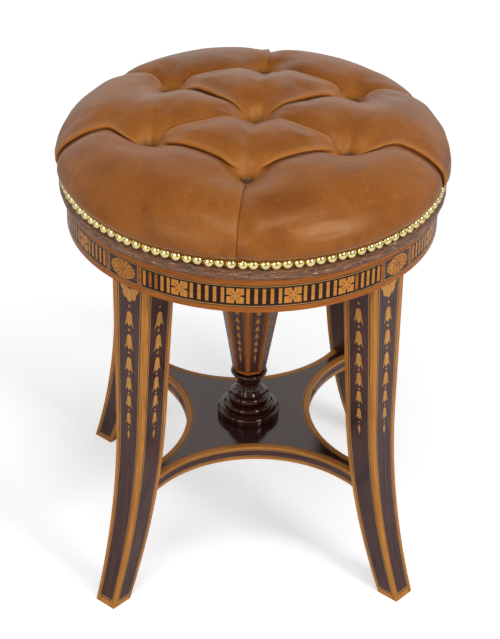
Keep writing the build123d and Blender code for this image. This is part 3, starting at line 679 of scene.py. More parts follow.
def leg_face_place(angle, face, u, height, proud):
    """A place on the leg's outer face or on one of its two sides, U from the face's middle line."""
    outer = swept_edge(LEG_OUTER, height)
    if face == "outer":
        return (*turned(outer + proud, u, angle), height)
    sign = 1 if face == "plus" else -1
    middle = (outer + swept_edge(LEG_INNER, height)) / 2
    return (*turned(middle - sign * u, sign * (leg_half_width(height) + proud), angle), height)


# Strips across a leg's face, as shares of its width, and the rows at the foot
FACE_SHARES = [0.135, 0.158, 0.185, 0.815, 0.842, 0.865]
FACE_STRIPS = [SATIN, EBONY, STRING, FIELD, STRING, EBONY, SATIN]
FOOT_ROWS = [5.5, 6.3, 7.3]
FOOT_STRIPS = [SATIN, EBONY, STRING]

# Tops, bottoms and widths of the flowers, then the dots and the drop, read off the photograph
LEG_FLOWERS = [
    (328.5, 311.8, 10.6), (303.0, 286.2, 10.2), (277.5, 261.4, 9.4),
    (255.2, 239.8, 8.6), (234.0, 220.8, 7.8), (214.0, 201.2, 6.6),
]
LEG_DOTS = [(334.0, 1.4), (308.0, 1.5), (282.6, 1.4), (258.6, 1.3), (236.8, 1.2), (217.2, 1.1), (197.6, 1.0)]
LEG_DROP = (194.5, 183.0, 2.8)
FAN_TOP = FRIEZE_BOTTOM - 0.3


def leg_loop(shape, angle, height):
    """A row of points round the leg, with its corners cut."""
    outer = swept_edge(LEG_OUTER, height)
    inner = swept_edge(LEG_INNER, height)
    half = leg_half_width(height)
    corners = [(outer, -half), (outer, half), (inner, half), (inner, -half)]
    cut = 0.293 * LEG_CORNER
    loop = []
    walked = 0.0
    for index, start in enumerate(corners):
        end = corners[(index + 1) % 4]
        share = LEG_CORNER / hypot(end[0] - start[0], end[1] - start[1])
        inward = (1 if start[0] == inner else -1, 1 if start[1] < 0 else -1)
        places = [(start[0] + inward[0] * cut, start[1] + inward[1] * cut)]
        places += [between(start, end, part) for part in [share] + FACE_SHARES + [1 - share]]
        for reach, side in places:
            walked += 2.0
            loop.append(shape.point((*turned(reach, side, angle), height), height, walked + side))
    return loop


def leg_head(shape, angle):
    """The leg's head, flush with the frieze: a framed panel with an oval."""
    edge = HEAD_HALF_ANGLE
    frame_widths = (HEAD_BAND, HEAD_LINE, HEAD_STRING)
    band, line, string = [edge - degrees(width / FRIEZE_RADIUS) for width in frame_widths]
    turns = [-edge, -band, -line]
    turns += [string * (2 * step / HEAD_COLUMNS - 1) for step in range(HEAD_COLUMNS + 1)]
    turns += [line, band, edge]
    slots = [BAND, EBONY, STRING] + [FIELD] * HEAD_COLUMNS + [STRING, EBONY, BAND]

    def inner_point(turn):
        return turned(HEAD_INNER, FRIEZE_RADIUS * sin(radians(turn - angle)), angle)

    posts = (0, 1, 2, len(slots) - 3, len(slots) - 2, len(slots) - 1)
    frieze_block(shape, [angle + turn for turn in turns], slots, inner_point, posts)
    oval_patera(shape, frieze_surface(angle), (0.0, BAR_MIDDLE))


def build_leg(name, angle):
    shape = Shape(seed=angle * 0.11 + 20.0)
    shaft = FRIEZE_BOTTOM + HEAD_LAP - FOOT_ROWS[-1]
    steps = ceil(shaft / LEG_STEP)
    heights = [0.0] + FOOT_ROWS
    heights += [FOOT_ROWS[-1] + shaft * step / steps for step in range(1, steps + 1)]
    columns = len(FACE_SHARES) + 3

    def slot_of(row, column):
        strip = column % columns
        if strip == 0 or strip > len(FACE_STRIPS):
            return SATIN
        slot = FACE_STRIPS[strip - 1]
        return FOOT_STRIPS[row] if slot == FIELD and row < len(FOOT_ROWS) else slot

    shape.solid([leg_loop(shape, angle, height) for height in heights], slot_of)
    for face in ("outer", "plus", "minus"):
        husk_chain(shape, partial(leg_face_place, angle, face), LEG_FLOWERS, LEG_DOTS, LEG_DROP)
    fan(shape, partial(leg_face_place, angle, "outer"), FAN_TOP)
    leg_head(shape, angle)
    shape.piece("inlaid_leg_" + name, "base", INLAID, ["leg_" + name])


for leg_name, leg_angle in LEG_ANGLES.items():
    build_leg(leg_name, leg_angle)


# Platform
PLATFORM_ROWS = [111.4, 114.2, 114.8, 115.6, 122.2, 122.9, 123.4, 125.6]
PLATFORM_STRIPS = [SATIN, EBONY, STRING, FIELD, STRING, EBONY, SATIN]
TOP_RINGS = [EDGE_CHAMFER, 5.4, 6.1, 6.9]
TOP_STRIPS = [SATIN, SATIN, EBONY, STRING]
SCOOP_STEPS = 36


def platform_loop(shape, margin, height):
    """The platform's outline, drawn in from its edge by the margin, at a height."""
    share = (height - PLATFORM_BOTTOM) / (PLATFORM_TOP - PLATFORM_BOTTOM)
    end = ARM_END_BOTTOM + (ARM_END_TOP - ARM_END_BOTTOM) * share
    radius = SCOOP_RADIUS + margin
    reach = 180.0 - 45.0 - degrees(acos((end - SCOOP_CENTRE * cos(radians(45.0))) / radius))
    loop = []
    for scoop in range(4):
        centre = polar(SCOOP_CENTRE, 90.0 * scoop)
        for step in range(SCOOP_STEPS + 1):
            x, y = around(centre, radius, 90.0 * scoop + 180.0 + reach * (1 - 2 * step / SCOOP_STEPS))
            along = radius * radians(reach) * 2 * step / SCOOP_STEPS + 300.0 * scoop
            loop.append(shape.point((x, y, height), along, 2 * margin + height))
    return loop


def build_platform():
    shape = Shape(seed=41.0)
    loops = [platform_loop(shape, EDGE_CHAMFER, PLATFORM_BOTTOM)]
    loops += [platform_loop(shape, 0.0, height) for height in PLATFORM_ROWS]
    loops += [platform_loop(shape, ring, PLATFORM_TOP) for ring in TOP_RINGS]
    strips = [SATIN] + PLATFORM_STRIPS + TOP_STRIPS

    def slot_of(row, column):
        return FIELD if column % (SCOOP_STEPS + 1) == SCOOP_STEPS else strips[row]

    shape.solid(loops, slot_of)
    field = [(shape.points[index][0] / MM, shape.points[index][1] / MM) for index in loops[-1]]
    plate(shape, field, lambda x, y, proud: (x, y, PLATFORM_TOP + proud), TABLE)
    shape.piece("inlaid_platform", "base", INLAID, ["platform"])


build_platform()


# Column, with a chain of flowers that grow smaller down each side
COLUMN_SHARES = [0.13, 0.165, 0.205, 0.795, 0.835, 0.87]
CHAIN_FLOWERS = 13
CHAIN_TOP = COLUMN_HEAD[1] - 8.0
CHAIN_PITCH = 14.0
CHAIN_SHRINK = 0.961


def column_side(angle, u, v, proud):
    """A place on the flat side of the column that faces the angle."""
    (foot_radius, foot), (head_radius, head) = COLUMN_FOOT, COLUMN_HEAD
    radius = foot_radius + (head_radius - foot_radius) * (v - foot) / (head - foot)
    return (*turned(cos(pi / COLUMN_SIDES) * radius + proud, u, angle), v)


def build_column():
    shape = Shape(seed=53.0)
    angles = [COLUMN_TURN + 360.0 * side / COLUMN_SIDES for side in range(COLUMN_SIDES)]
    loops = []
    for radius, height in (COLUMN_FOOT, COLUMN_BAND, COLUMN_LINE, COLUMN_HEAD):
        corners = [polar(radius, angle) for angle in angles]
        loop = []
        for side, start in enumerate(corners):
            end = corners[(side + 1) % COLUMN_SIDES]
            for share in [0.0] + COLUMN_SHARES:
                place = (*between(start, end, share), height)
                loop.append(shape.point(place, height, 40.0 * side + 30.0 * share))
        loops.append(loop)

    def slot_of(row, column):
        if row < 2:
            return (BAND, EBONY)[row]
        strip = FACE_STRIPS[column % len(FACE_STRIPS)]
        return BAND if strip in (SATIN, STRING) else strip

    shape.solid(loops, slot_of)
    for angle in angles:
        surface = partial(column_side, angle + 180.0 / COLUMN_SIDES)
        top = CHAIN_TOP
        pitch = CHAIN_PITCH
        for _ in range(CHAIN_FLOWERS):
            bellflower(shape, surface, top, 0.50 * pitch, 0.60 * pitch, GOLD)
            plate(shape, ellipse((0.0, top - 0.82 * pitch), 0.07 * pitch, 0.07 * pitch, 8), surface, GOLD)
            top -= pitch
            pitch *= CHAIN_SHRINK
        drop = [(0.0, top), (1.1, top - 3.5), (0.0, top - 11.0), (-1.1, top - 3.5)]
        plate(shape, drop, surface, GOLD)
    shape.piece("inlaid_column", "base", INLAID, ["column"])


build_column()

# Socle under the column
SOCLE_BORE = 7.1
SOCLE_TOP = COLUMN_FOOT[1]
socle = Shape(seed=61.0)
socle_profile = [(SOCLE_BORE, PLATFORM_TOP), (30.7, PLATFORM_TOP)] + arc((30.3, 127.2), 1.2, -60, 0, 3)
socle_profile += arc((28.5, 133.4), 3.0, 0, 80, 6) + [(27.2, 136.6), (26.6, 137.0)]
socle_profile += arc((21.6, 140.4), 3.4, -80, 80, 10) + [(20.6, 143.9)]
socle_profile += arc((16.2, 149.0), 4.6, -72, 78, 12) + [(15.4, 154.0), (15.0, 154.6)]
socle_profile += arc((22.6, 161.4), 10.6, -140, -178, 7)
socle_profile += arc((11.3, 162.6), 1.5, -70, 70, 6) + [(11.5, 164.4), (11.6, 165.6)]
socle_profile += arc((21.6, 166.2), 9.8, 176, 118, 8)
socle_profile += arc((16.2, 177.6), 2.2, -40, 80, 7) + [(14.4, 180.0), (14.4, SOCLE_TOP)]
socle_profile += [(SOCLE_BORE, SOCLE_TOP), (SOCLE_BORE, PLATFORM_TOP)]
lathe(socle, socle_profile, 96)
socle.piece("turned_socle", "base", [TURNED], ["column_socle"], 40.0)


# Seat rim, worn and slightly uneven
def rim_wear(angle, radius, height):
    if radius <= NOSE_START:
        return 0.0
    place = Vector((cos(angle) * 9.0, sin(angle) * 9.0, height * 0.12))
    return 0.35 * noise.noise(place * 2.0) + 0.22 * noise.noise(place * 9.0) - 0.25


rim = Shape(seed=71.0)
rim_profile = [(RIM_INNER, RIM_BOTTOM), (BOARD_RADIUS, RIM_BOTTOM), (NOSE_START, RIM_BOTTOM)]
rim_profile += arc((NOSE_CENTRE, RIM_BOTTOM + NOSE_ROUND), NOSE_ROUND, -90, -5, 9)
rim_profile += arc((NOSE_CENTRE, NOSE_TOP - NOSE_ROUND), NOSE_ROUND, 5, 88, 9)
rim_profile += [(TACK_RAIL, NOSE_TOP), (TACK_RAIL, BOARD_TOP), (BOARD_RADIUS, BOARD_TOP)]
rim_profile += [(BOARD_RADIUS, BOARD_BOTTOM), (RIM_INNER, BOARD_BOTTOM), (RIM_INNER, RIM_BOTTOM)]
lathe(rim, rim_profile, 360, wobble=rim_wear)
rim.piece("turned_rim", "seat", [RIM_WOOD], ["seat_rim"], 40.0)


# Brass nails, each set by hand a little off its place
def build_nails():
    shape = Shape()
    chance = Random(11)
    for nail in range(NAIL_COUNT):
        angle = radians(360.0 * nail / NAIL_COUNT + chance.uniform(-0.22, 0.22))
        height = NAIL_HEIGHT + chance.uniform(-0.35, 0.35)
        tilt = radians(chance.uniform(-5.0, 5.0))
        size = chance.uniform(0.96, 1.03)
        out = Vector((cos(angle), sin(angle), sin(tilt))).normalized()
        side = Vector((-sin(angle), cos(angle), 0.0))
        up = out.cross(side)
        seat = Vector((TACK_LINE * cos(angle), TACK_LINE * sin(angle), height))

        def place(u, v, rise):
            return seat + out * rise + side * u + up * v

        dome(shape, place, NAIL_RADIUS * size, NAIL_DOME * size, 18, 6)
    shape.piece("domed_nails", "seat", [BRASS], ["brass_nails"], 50.0)


build_nails()


# Lift screw: a square thread cut on the rod
SCREW_RADIUS = 12.0
SCREW_ROOT = 9.6
SCREW_CORE = 0.2
SCREW_BEVEL = 0.6
SCREW_LEAD = 8.0
SCREW_BOTTOM = 234.7
SCREW_TOP = BOARD_BOTTOM
THREAD_BOTTOM = SCREW_BOTTOM + 22.0
THREAD_TOP = SCREW_TOP - 20.0
THREAD_STEPS = 40


def build_screw():
    shape = Shape()
    profile = [(SCREW_CORE, SCREW_BOTTOM), (SCREW_RADIUS - SCREW_BEVEL, SCREW_BOTTOM)]
    profile += [(SCREW_RADIUS, SCREW_BOTTOM + SCREW_BEVEL), (SCREW_RADIUS, THREAD_BOTTOM)]
    profile += [(SCREW_ROOT, THREAD_BOTTOM), (SCREW_ROOT, THREAD_TOP), (SCREW_RADIUS, THREAD_TOP)]
    profile += [(SCREW_RADIUS, SCREW_TOP), (SCREW_CORE, SCREW_TOP), (SCREW_CORE, SCREW_BOTTOM)]
    lathe(shape, profile, 48)
    crest = SCREW_RADIUS - 0.3
    root = SCREW_ROOT - 0.3
    section = [(root, 0.5), (crest, 0.9), (SCREW_RADIUS, 1.2)]
    section += [(SCREW_RADIUS, 3.6), (crest, 3.9), (root, 4.3)]
    turns = (THREAD_TOP - THREAD_BOTTOM) / SCREW_LEAD
    rows = []
    for step in range(int(turns * THREAD_STEPS) - THREAD_STEPS // 2):
        angle = 360.0 * step / THREAD_STEPS
        lift = THREAD_BOTTOM + SCREW_LEAD * step / THREAD_STEPS
        rows.append([shape.point((*polar(radius, angle), lift + rise)) for radius, rise in section])
    shape.solid(rows)
    shape.piece("threaded_screw", "seat", [STEEL], ["lift_screw"], 40.0)


build_screw()

# Materials of the CAD nodes that stay
NODE_MATERIALS = {
    "cross_rail_lower": BEECH, "cross_rail_upper": BEECH, "seat_board": BEECH, "platform_dowels": BEECH,
    "screw_nut": IRON, "seat_plate": IRON, "stop_collar": IRON, "stop_pin": STEEL, "nut_screws": STEEL,
    "plate_screws": STEEL, "leather_washer": HIDE,
}
for node_name, node_material in NODE_MATERIALS.items():
    node_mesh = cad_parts[node_name].data
    node_mesh.materials.clear()
    node_mesh.materials.append(node_material)

# Cushion: the meridian of the smooth form, from the axis over the crown and down behind the nails
LEATHER_RADIUS = 190.5
WIDEST = 427.9
BULGE_ROUND = 8.5
SHOULDER_ROUND = 24.8
SHOULDER_ANGLE = 50.0
CROWN_ROUND = 90.0
CROWN_ANGLE = 80.0
TUFT_CIRCLE = 107.0
TUFT_BOTTOM = 453.0
UNDER_PROFILE = [(181.3, LEATHER_BOTTOM), (181.3, BOARD_TOP + 0.4), (120.0, BOARD_TOP + 0.4)]
shoulder_centre = (LEATHER_RADIUS - SHOULDER_ROUND, WIDEST)
crown_centre = around(shoulder_centre, SHOULDER_ROUND - CROWN_ROUND, SHOULDER_ANGLE)
crown_edge = around(crown_centre, CROWN_ROUND, CROWN_ANGLE)
crown_fall = tan(radians(90.0 - CROWN_ANGLE)) / (2 * crown_edge[0])
crown_top = crown_edge[1] + crown_fall * crown_edge[0] ** 2
crown_length = CROWN_ROUND * radians(CROWN_ANGLE - SHOULDER_ANGLE)
shoulder_length = SHOULDER_ROUND * radians(SHOULDER_ANGLE)
bulge_turn = acos((TACK_LINE - LEATHER_RADIUS + BULGE_ROUND) / BULGE_ROUND)
bulge_length = BULGE_ROUND * bulge_turn
skirt_top = WIDEST - BULGE_ROUND * sin(bulge_turn)
skirt_length = skirt_top - LEATHER_BOTTOM
cover_length = crown_edge[0] + crown_length + shoulder_length + bulge_length + skirt_length
skirt_start = cover_length - skirt_length

# Arcs of the meridian: centre, radius, first angle and length
cover_arcs = [
    (crown_centre, CROWN_ROUND, CROWN_ANGLE, crown_length),
    (shoulder_centre, SHOULDER_ROUND, SHOULDER_ANGLE, shoulder_length),
    ((LEATHER_RADIUS - BULGE_ROUND, WIDEST), BULGE_ROUND, 0.0, bulge_length),
]


def meridian(run):
    """Radius, height and outward normal (radial, upward) at a distance along the cover from its middle."""
    if run <= crown_edge[0]:
        slope = 2 * crown_fall * run
        size = hypot(slope, 1.0)
        return run, crown_top - crown_fall * run**2, slope / size, 1.0 / size
    run -= crown_edge[0]
    for (x, z), radius, start, length in cover_arcs:
        if run <= length:
            turn = radians(start) - run / radius
            return x + radius * cos(turn), z + radius * sin(turn), cos(turn), sin(turn)
        run -= length
    return TACK_LINE, skirt_top - run, 1.0, 0.0


# Folds: how the upper panel's rolled edge and the panel under it lie, (across, height) from the crease
FLAT_STEPS = [0.0, 0.9, 1.8, 2.8, 4.0, 5.6, 8.2, 12.0, 18.0]
UPPER_FOLD = [
    (1.9, -5.0), (0.8, -4.9), (-0.6, -4.2), (-1.4, -3.1), (-1.3, -1.9),
    (-0.3, -0.9), (2.2, -0.4), (5.8, -1.0), (18.0, 0.0),
]
LOWER_FOLD = [
    (-1.9, -5.0), (-0.6, -5.5), (0.7, -5.4), (1.9, -5.0), (3.2, -4.5),
    (5.0, -3.7), (7.8, -2.5), (11.8, -1.1), (18.0, -0.1),
]
LIP_STEP = 5.2
LIP_SPREAD = 1.3
FOLD_REACH = FLAT_STEPS[-1]
INNER_COLUMNS = 14
INSIDE_ROWS = 22
OUTSIDE_ROWS = 46
NONE, UPPER, LOWER = range(3)

# Sectors between the tufts, counted from the front tuft: the roles of each sector's two sides inside the
# ring of tufts and outside it, and whether a fold runs along the ring
SECTOR_COUNT = 6
SECTOR_TURN = 60.0
SECTORS = [
    {"inside": (NONE, UPPER), "outside": (LOWER, LOWER), "ring": True},
    {"inside": (LOWER, LOWER), "outside": (UPPER, UPPER), "ring": False},
    {"inside": (UPPER, NONE), "outside": (LOWER, LOWER), "ring": True},
    {"inside": (NONE, UPPER), "outside": (UPPER, LOWER), "ring": True},
    {"inside": (LOWER, LOWER), "outside": (UPPER, UPPER), "ring": False},
    {"inside": (UPPER, NONE), "outside": (LOWER, UPPER), "ring": True},
]
tuft_angles = [-90.0 + SEAT_TURN + SECTOR_TURN * index for index in range(SECTOR_COUNT)]
tuft_points = [(0.0, 0.0)] + [polar(TUFT_CIRCLE, angle) for angle in tuft_angles]

# Valleys along the pleats and the creases, each given by the two tufts it joins, and funnels at the tufts
CREASES = [(0, 2), (0, 3), (0, 5), (0, 6), (1, 2), (1, 6), (4, 3), (4, 5)]
VALLEY_DEPTH = 3.0
VALLEY_WIDTH = 17.0
VALLEY_POWER = 1.4
PLEAT_VALLEYS = [2.6, 2.6, 2.6, 0.5, 2.6, 2.6]
PLEAT_WIDTH = 13.0
DIMPLE_REACH = 90.0
DIMPLE_FLAT = 4.0
DIMPLE_SPREAD = 13.5
PUCKER_HEIGHT = 0.15
PUCKER_WAVES = 7.0
PUCKER_RADIUS = 19.0
PUCKER_WIDTH = 8.0

# Counted from the front tuft: how far each pleat turns on its way to the edge, how far it overlaps, how high
# its step is, how far its edge is raised and how pale its edge is painted (wear and painted highlight), how
# far the crease from the middle tuft bows, and how far the side of the ring after it bows outwards
PLEAT_TURNS = [-1.0, 18.0, 2.0, -1.0, -7.0, -20.0]
PLEAT_OVERLAPS = [0.95, 1.0, 0.85, 0.85, 0.85, 1.0]
PLEAT_STEPS = [0.62, 1.0, 0.8, 0.42, 0.8, 1.0]
LIP_RAISES = [0.0, 0.0, 0.0, 1.6, 0.0, 0.0]
EDGE_WEAR_HIGHLIGHT_TONES = [0.2, 1.0, 0.8, 0.5, 0.8, 1.0]
SPOKE_BOWS = [0.0, 2.0, 7.0, 0.0, -8.0, -3.0]
RING_BOWS = [-8.0, 0.0, 8.0, 8.0, 0.0, -8.0]

# How far the hand-set tufts lie off their marks, the middle one first
TUFT_SHIFTS = [(2.0, 0.0), (1.5, 3.0), (0.0, 6.0), (1.0, 9.5), (5.0, 4.0), (8.0, 8.0), (-3.0, 5.0)]
SHIFT_SPREAD = 42.0


def smooth_step(low, high, value):
    share = min(1.0, max(0.0, (value - low) / (high - low)))
    return share * share * (3.0 - 2.0 * share)


def bell(value, middle, spread):
    return exp(-(((value - middle) / spread) ** 2))


def shifted(x, y):
    """The place in the cover after the tufts are set."""
    fade = 1.0 - smooth_step(138.0, 178.0, hypot(x, y))
    move_x = move_y = 0.0
    for tuft, shift in zip(tuft_points, TUFT_SHIFTS):
        share = fade * exp(-(((x - tuft[0]) ** 2 + (y - tuft[1]) ** 2) / SHIFT_SPREAD**2))
        move_x += share * shift[0]
        move_y += share * shift[1]
    return x + move_x, y + move_y


set_tufts = [shifted(*tuft) for tuft in tuft_points]


def to_segment(place, start, end):
    """How far a place is from the line between two others."""
    along = (end[0] - start[0], end[1] - start[1])
    away = (place[0] - start[0], place[1] - start[1])
    share = (away[0] * along[0] + away[1] * along[1]) / (along[0] ** 2 + along[1] ** 2)
    share = min(1.0, max(0.0, share))
    return hypot(away[0] - share * along[0], away[1] - share * along[1])


def sink(place, run):
    """How far the cover is drawn in at a place."""
    depth = 0.0
    pucker = 0.0
    for index, tuft in enumerate(tuft_points):
        away = hypot(place[0] - tuft[0], place[1] - tuft[1])
        if away > DIMPLE_REACH:
            continue
        full = meridian(hypot(*tuft))[1] - TUFT_BOTTOM
        depth += (full * exp(-((max(0.0, away - DIMPLE_FLAT) / DIMPLE_SPREAD) ** 1.1))) ** 4
        turn = atan2(place[1] - tuft[1], place[0] - tuft[0])
        wave = PUCKER_HEIGHT * sin(PUCKER_WAVES * turn + 2.0 * index)
        pucker += wave * bell(away, PUCKER_RADIUS, PUCKER_WIDTH)
    for start, end in CREASES:
        away = to_segment(place, tuft_points[start], tuft_points[end])
        depth += (VALLEY_DEPTH * exp(-((away / VALLEY_WIDTH) ** VALLEY_POWER))) ** 4
    if hypot(*place) > TUFT_CIRCLE - 30.0:
        fade = 1.0 - smooth_step(122.0, 168.0, run)
        for tuft, valley in zip(tuft_points[1:], PLEAT_VALLEYS):
            away = to_segment(place, tuft, (tuft[0] * 2, tuft[1] * 2))
            depth += (valley * (0.15 + 0.85 * fade) * exp(-((away / PLEAT_WIDTH) ** VALLEY_POWER))) ** 4
    skirt = 1.0 - smooth_step(skirt_start - bulge_length, skirt_start, run)
    return (depth**0.25 + pucker) * skirt


def fold_columns(roles, overlaps, steps):
    """Offsets across the two sides of a sector and the heights there, for how far the folds are formed."""
    sides = []
    for role, overlap, step in zip(roles, overlaps, steps):
        table = {NONE: None, UPPER: UPPER_FOLD, LOWER: LOWER_FOLD}[role]
        places = []
        for index, flat in enumerate(FLAT_STEPS):
            across, height = table[index] if table else (flat, 0.0)
            places.append((flat + (across - flat) * overlap, height * step))
        sides.append(places)
    return sides


def ring_radius(turn):
    """Distance of the straight-sided hexagon of tufts from the middle, at a turn from a tuft."""
    return TUFT_CIRCLE * cos(radians(30.0)) / cos(radians(turn - 30.0))


def bowed_ring(sector, turn):
    """The same with bowed sides."""
    return ring_radius(turn) + RING_BOWS[sector] * sin(pi * turn / SECTOR_TURN)


def boundary_turn(index, run):
    """How far the line between two sectors has turned from the tuft's own angle."""
    index %= len(tuft_angles)
    if run < TUFT_CIRCLE:
        return SPOKE_BOWS[index] * sin(pi * run / TUFT_CIRCLE)
    return PLEAT_TURNS[index] * smooth_step(0.0, 36.0, run - TUFT_CIRCLE)


def cushion_rows():
    """Rows from the middle out: the zone, and the share of the way or the step of the ring's fold."""
    last = len(FLAT_STEPS) - 1
    rows = [("inside", (step + 0.35) / INSIDE_ROWS) for step in range(INSIDE_ROWS)]
    rows += [("ring", step) for step in range(-last, last + 1)]
    rows += [("outside", step / OUTSIDE_ROWS) for step in range(1, OUTSIDE_ROWS + 1)]
    return rows


def cushion_grid():
    """Points of the cover in rows, with what the material needs at each."""
    columns = 2 * (len(FLAT_STEPS) - 1) + INNER_COLUMNS
    grid = []
    for zone, value in cushion_rows():
        line = []
        for sector in range(SECTOR_COUNT):
            line += [cover_point(zone, value, sector, index, columns) for index in range(columns)]
        grid.append(line)
    return grid


def cover_run(zone, value, sector, turn):
    """Distance along the cover, and the height and the fold-edge mark (wear and painted highlight) that the
    ring's fold adds.
    """
    ring = bowed_ring(sector, turn)
    if zone == "inside":
        return (ring - FOLD_REACH) * value, 0.0, 0.0
    if zone == "outside":
        start = ring + FOLD_REACH
        return start + (cover_length - start) * value**0.94, 0.0, 0.0
    near_tuft = min(turn, SECTOR_TURN - turn) / SECTOR_TURN * TUFT_CIRCLE
    amount = smooth_step(6.0, 20.0, near_tuft) if SECTORS[sector]["ring"] else 0.0
    index = abs(value)
    side = -1 if value < 0 else 1
    across, height = (UPPER_FOLD if value <= 0 else LOWER_FOLD)[index]
    if value == 0:
        across = -across
    moved = FLAT_STEPS[index] + (across - FLAT_STEPS[index]) * amount
    # Mark of the fold's edge: wear and painted highlight
    edge_wear_and_highlight = amount * bell(index, LIP_STEP, LIP_SPREAD) if value < 0 else 0.0
    return ring + side * moved, height * amount, edge_wear_and_highlight


def cover_point(zone, value, sector, index, columns):
    """A point of the cover, the painted valley light there, and the mark of a fold's edge: wear and painted
    highlight.
    """
    last = len(FLAT_STEPS) - 1
    inside = zone == "inside" or (zone == "ring" and value <= 0)
    roles = SECTORS[sector]["inside" if inside else "outside"]
    # Where the point is without the folds, to know how strong they are there
    flat_turn = SECTOR_TURN * index / columns
    run, _, _ = cover_run(zone, value, sector, flat_turn)
    radius = max(3.0, meridian(max(0.0, run))[0])
    reach = min(1.0, 0.30 * radius * radians(SECTOR_TURN) / FOLD_REACH)
    if inside:
        amount = smooth_step(6.0, 22.0, run) * smooth_step(5.0, 19.0, bowed_ring(sector, flat_turn) - run)
        pleats = None
    else:
        amount = smooth_step(5.0, 19.0, run - bowed_ring(sector, flat_turn))
        amount *= 1.0 - 0.75 * smooth_step(skirt_start - 8.0, skirt_start + 1.0, run)
        pleats = (sector, (sector + 1) % SECTOR_COUNT)
    overlaps = [amount * PLEAT_OVERLAPS[pleat] for pleat in pleats] if pleats else (amount, amount)
    steps = [amount * PLEAT_STEPS[pleat] for pleat in pleats] if pleats else (amount, amount)
    first, second = fold_columns(roles, overlaps, steps)
    edge_wear_and_highlight = 0.0
    if index <= last:
        across, height = first[index]
        turn = degrees(across * reach / radius)
        near, role = index, roles[0]
    elif index >= last + INNER_COLUMNS:
        near, role = columns - index, roles[1]
        across, height = second[near]
        turn = SECTOR_TURN - degrees(across * reach / radius)
    else:
        near, role, height = last, NONE, 0.0
        low = degrees(first[last][0] * reach / radius)
        high = SECTOR_TURN - degrees(second[last][0] * reach / radius)
        turn = low + (high - low) * (index - last) / INNER_COLUMNS
    if role == UPPER:
        # Mark of the upper panel's edge: wear and painted highlight
        edge_wear_and_highlight = amount * bell(near, LIP_STEP, LIP_SPREAD)
        if pleats:
            pleat = pleats[0] if index <= last else pleats[1]
            edge_wear_and_highlight *= EDGE_WEAR_HIGHLIGHT_TONES[pleat]
            height += LIP_RAISES[pleat] * amount * bell(FLAT_STEPS[near], 4.0, 4.0)
    run, ring_height, ring_edge_wear_and_highlight = cover_run(zone, value, sector, min(SECTOR_TURN, max(0.0, turn)))
    run = max(0.6, run)
    radius, level, normal_out, normal_up = meridian(run)
    # The valleys are shaped on the straight hexagon and carried over to the bowed one
    straight = radius + ring_radius(turn) - bowed_ring(sector, turn)
    if inside:
        straight = radius * ring_radius(turn) / bowed_ring(sector, turn)
    nominal = radians(tuft_angles[sector] + turn)
    drawn = sink((straight * cos(nominal), straight * sin(nominal)), run)
    bend = boundary_turn(sector, run)
    bend += (boundary_turn(sector + 1, run) - bend) * turn / SECTOR_TURN
    angle = nominal + radians(bend)
    lift = height * reach + ring_height - drawn
    reach_out = radius + normal_out * lift
    place = (*shifted(reach_out * cos(angle), reach_out * sin(angle)), level + normal_up * lift)
    # Painted valley light: ochre where the cover is drawn in deep
    hollow = 0.85 * min(1.0, max(0.0, (drawn - 4.0) / 12.0))
    return place, hollow, min(1.0, 0.75 * (edge_wear_and_highlight + ring_edge_wear_and_highlight))


def held_points(grid):
    """Where the cover is held down: along the creases and pleats, at the tufts and round the skirt."""
    columns = len(grid[0]) // SECTOR_COUNT
    held = []
    for (zone, value), line in zip(cushion_rows(), grid):
        for sector in range(SECTOR_COUNT):
            if zone == "outside" or (zone == "inside" and sector not in (0, 3)):
                held.append(line[sector * columns][0])
            elif zone == "ring" and value == 0 and SECTORS[sector]["ring"]:
                held += [point[0] for point in line[sector * columns:(sector + 1) * columns]]
    return held + [(x, y, TUFT_BOTTOM) for x, y in set_tufts]


SWELL_VOXEL = 5.0
SWELL_PRESSURE = 20.0
SWELL_SLACK = 0.016
SWELL_FRAMES = 20
SWELL_LIMIT = 5.0
HELD_NEAR, HELD_FAR = 4.0, 16.0
HELD_BELOW = 424.0


def nearest_tree(places):
    tree = KDTree(len(places))
    for index, place in enumerate(places):
        tree.insert(place, index)
    tree.balance()
    return tree


def swelling(points, faces, held):
    """Air pressure on a remeshed copy of the closed cover: its vertices, and how far each is blown out."""
    mesh = bpy.data.meshes.new("swelling")
    mesh.from_pydata(points, [], faces)
    item = add_object("swelling", mesh)
    item.modifiers.new("remesh", "REMESH").voxel_size = SWELL_VOXEL * MM
    fine = bpy.data.meshes.new_from_object(item.evaluated_get(bpy.context.evaluated_depsgraph_get()))
    item.modifiers.clear()
    item.data = fine
    tree = nearest_tree([Vector(place) * MM for place in held])
    group = item.vertex_groups.new(name="held")
    for vertex in fine.vertices:
        away = tree.find(vertex.co)[2] / MM
        low = vertex.co.z / MM < HELD_BELOW
        group.add([vertex.index], 1.0 if low else 1.0 - smooth_step(HELD_NEAR, HELD_FAR, away), "REPLACE")
    cloth = item.modifiers.new("cloth", "CLOTH")
    cloth.settings.quality = 5
    cloth.settings.use_pressure = True
    cloth.settings.uniform_pressure_force = SWELL_PRESSURE
    cloth.settings.shrink_min = -SWELL_SLACK
    cloth.settings.vertex_group_mass = "held"
    cloth.settings.effector_weights.gravity = 0.0
    cloth.collision_settings.use_collision = False
    cloth.point_cache.frame_start = 1
    cloth.point_cache.frame_end = SWELL_FRAMES
    before = [vertex.co.copy() for vertex in fine.vertices]
    scene = bpy.context.scene
    for step in range(1, SWELL_FRAMES + 1):
        scene.frame_set(step)
    blown = item.evaluated_get(bpy.context.evaluated_depsgraph_get()).data
    moves = [vertex.co - start for vertex, start in zip(blown.vertices, before)]
    scene.frame_set(1)
    bpy.data.objects.remove(item)
    return before, moves


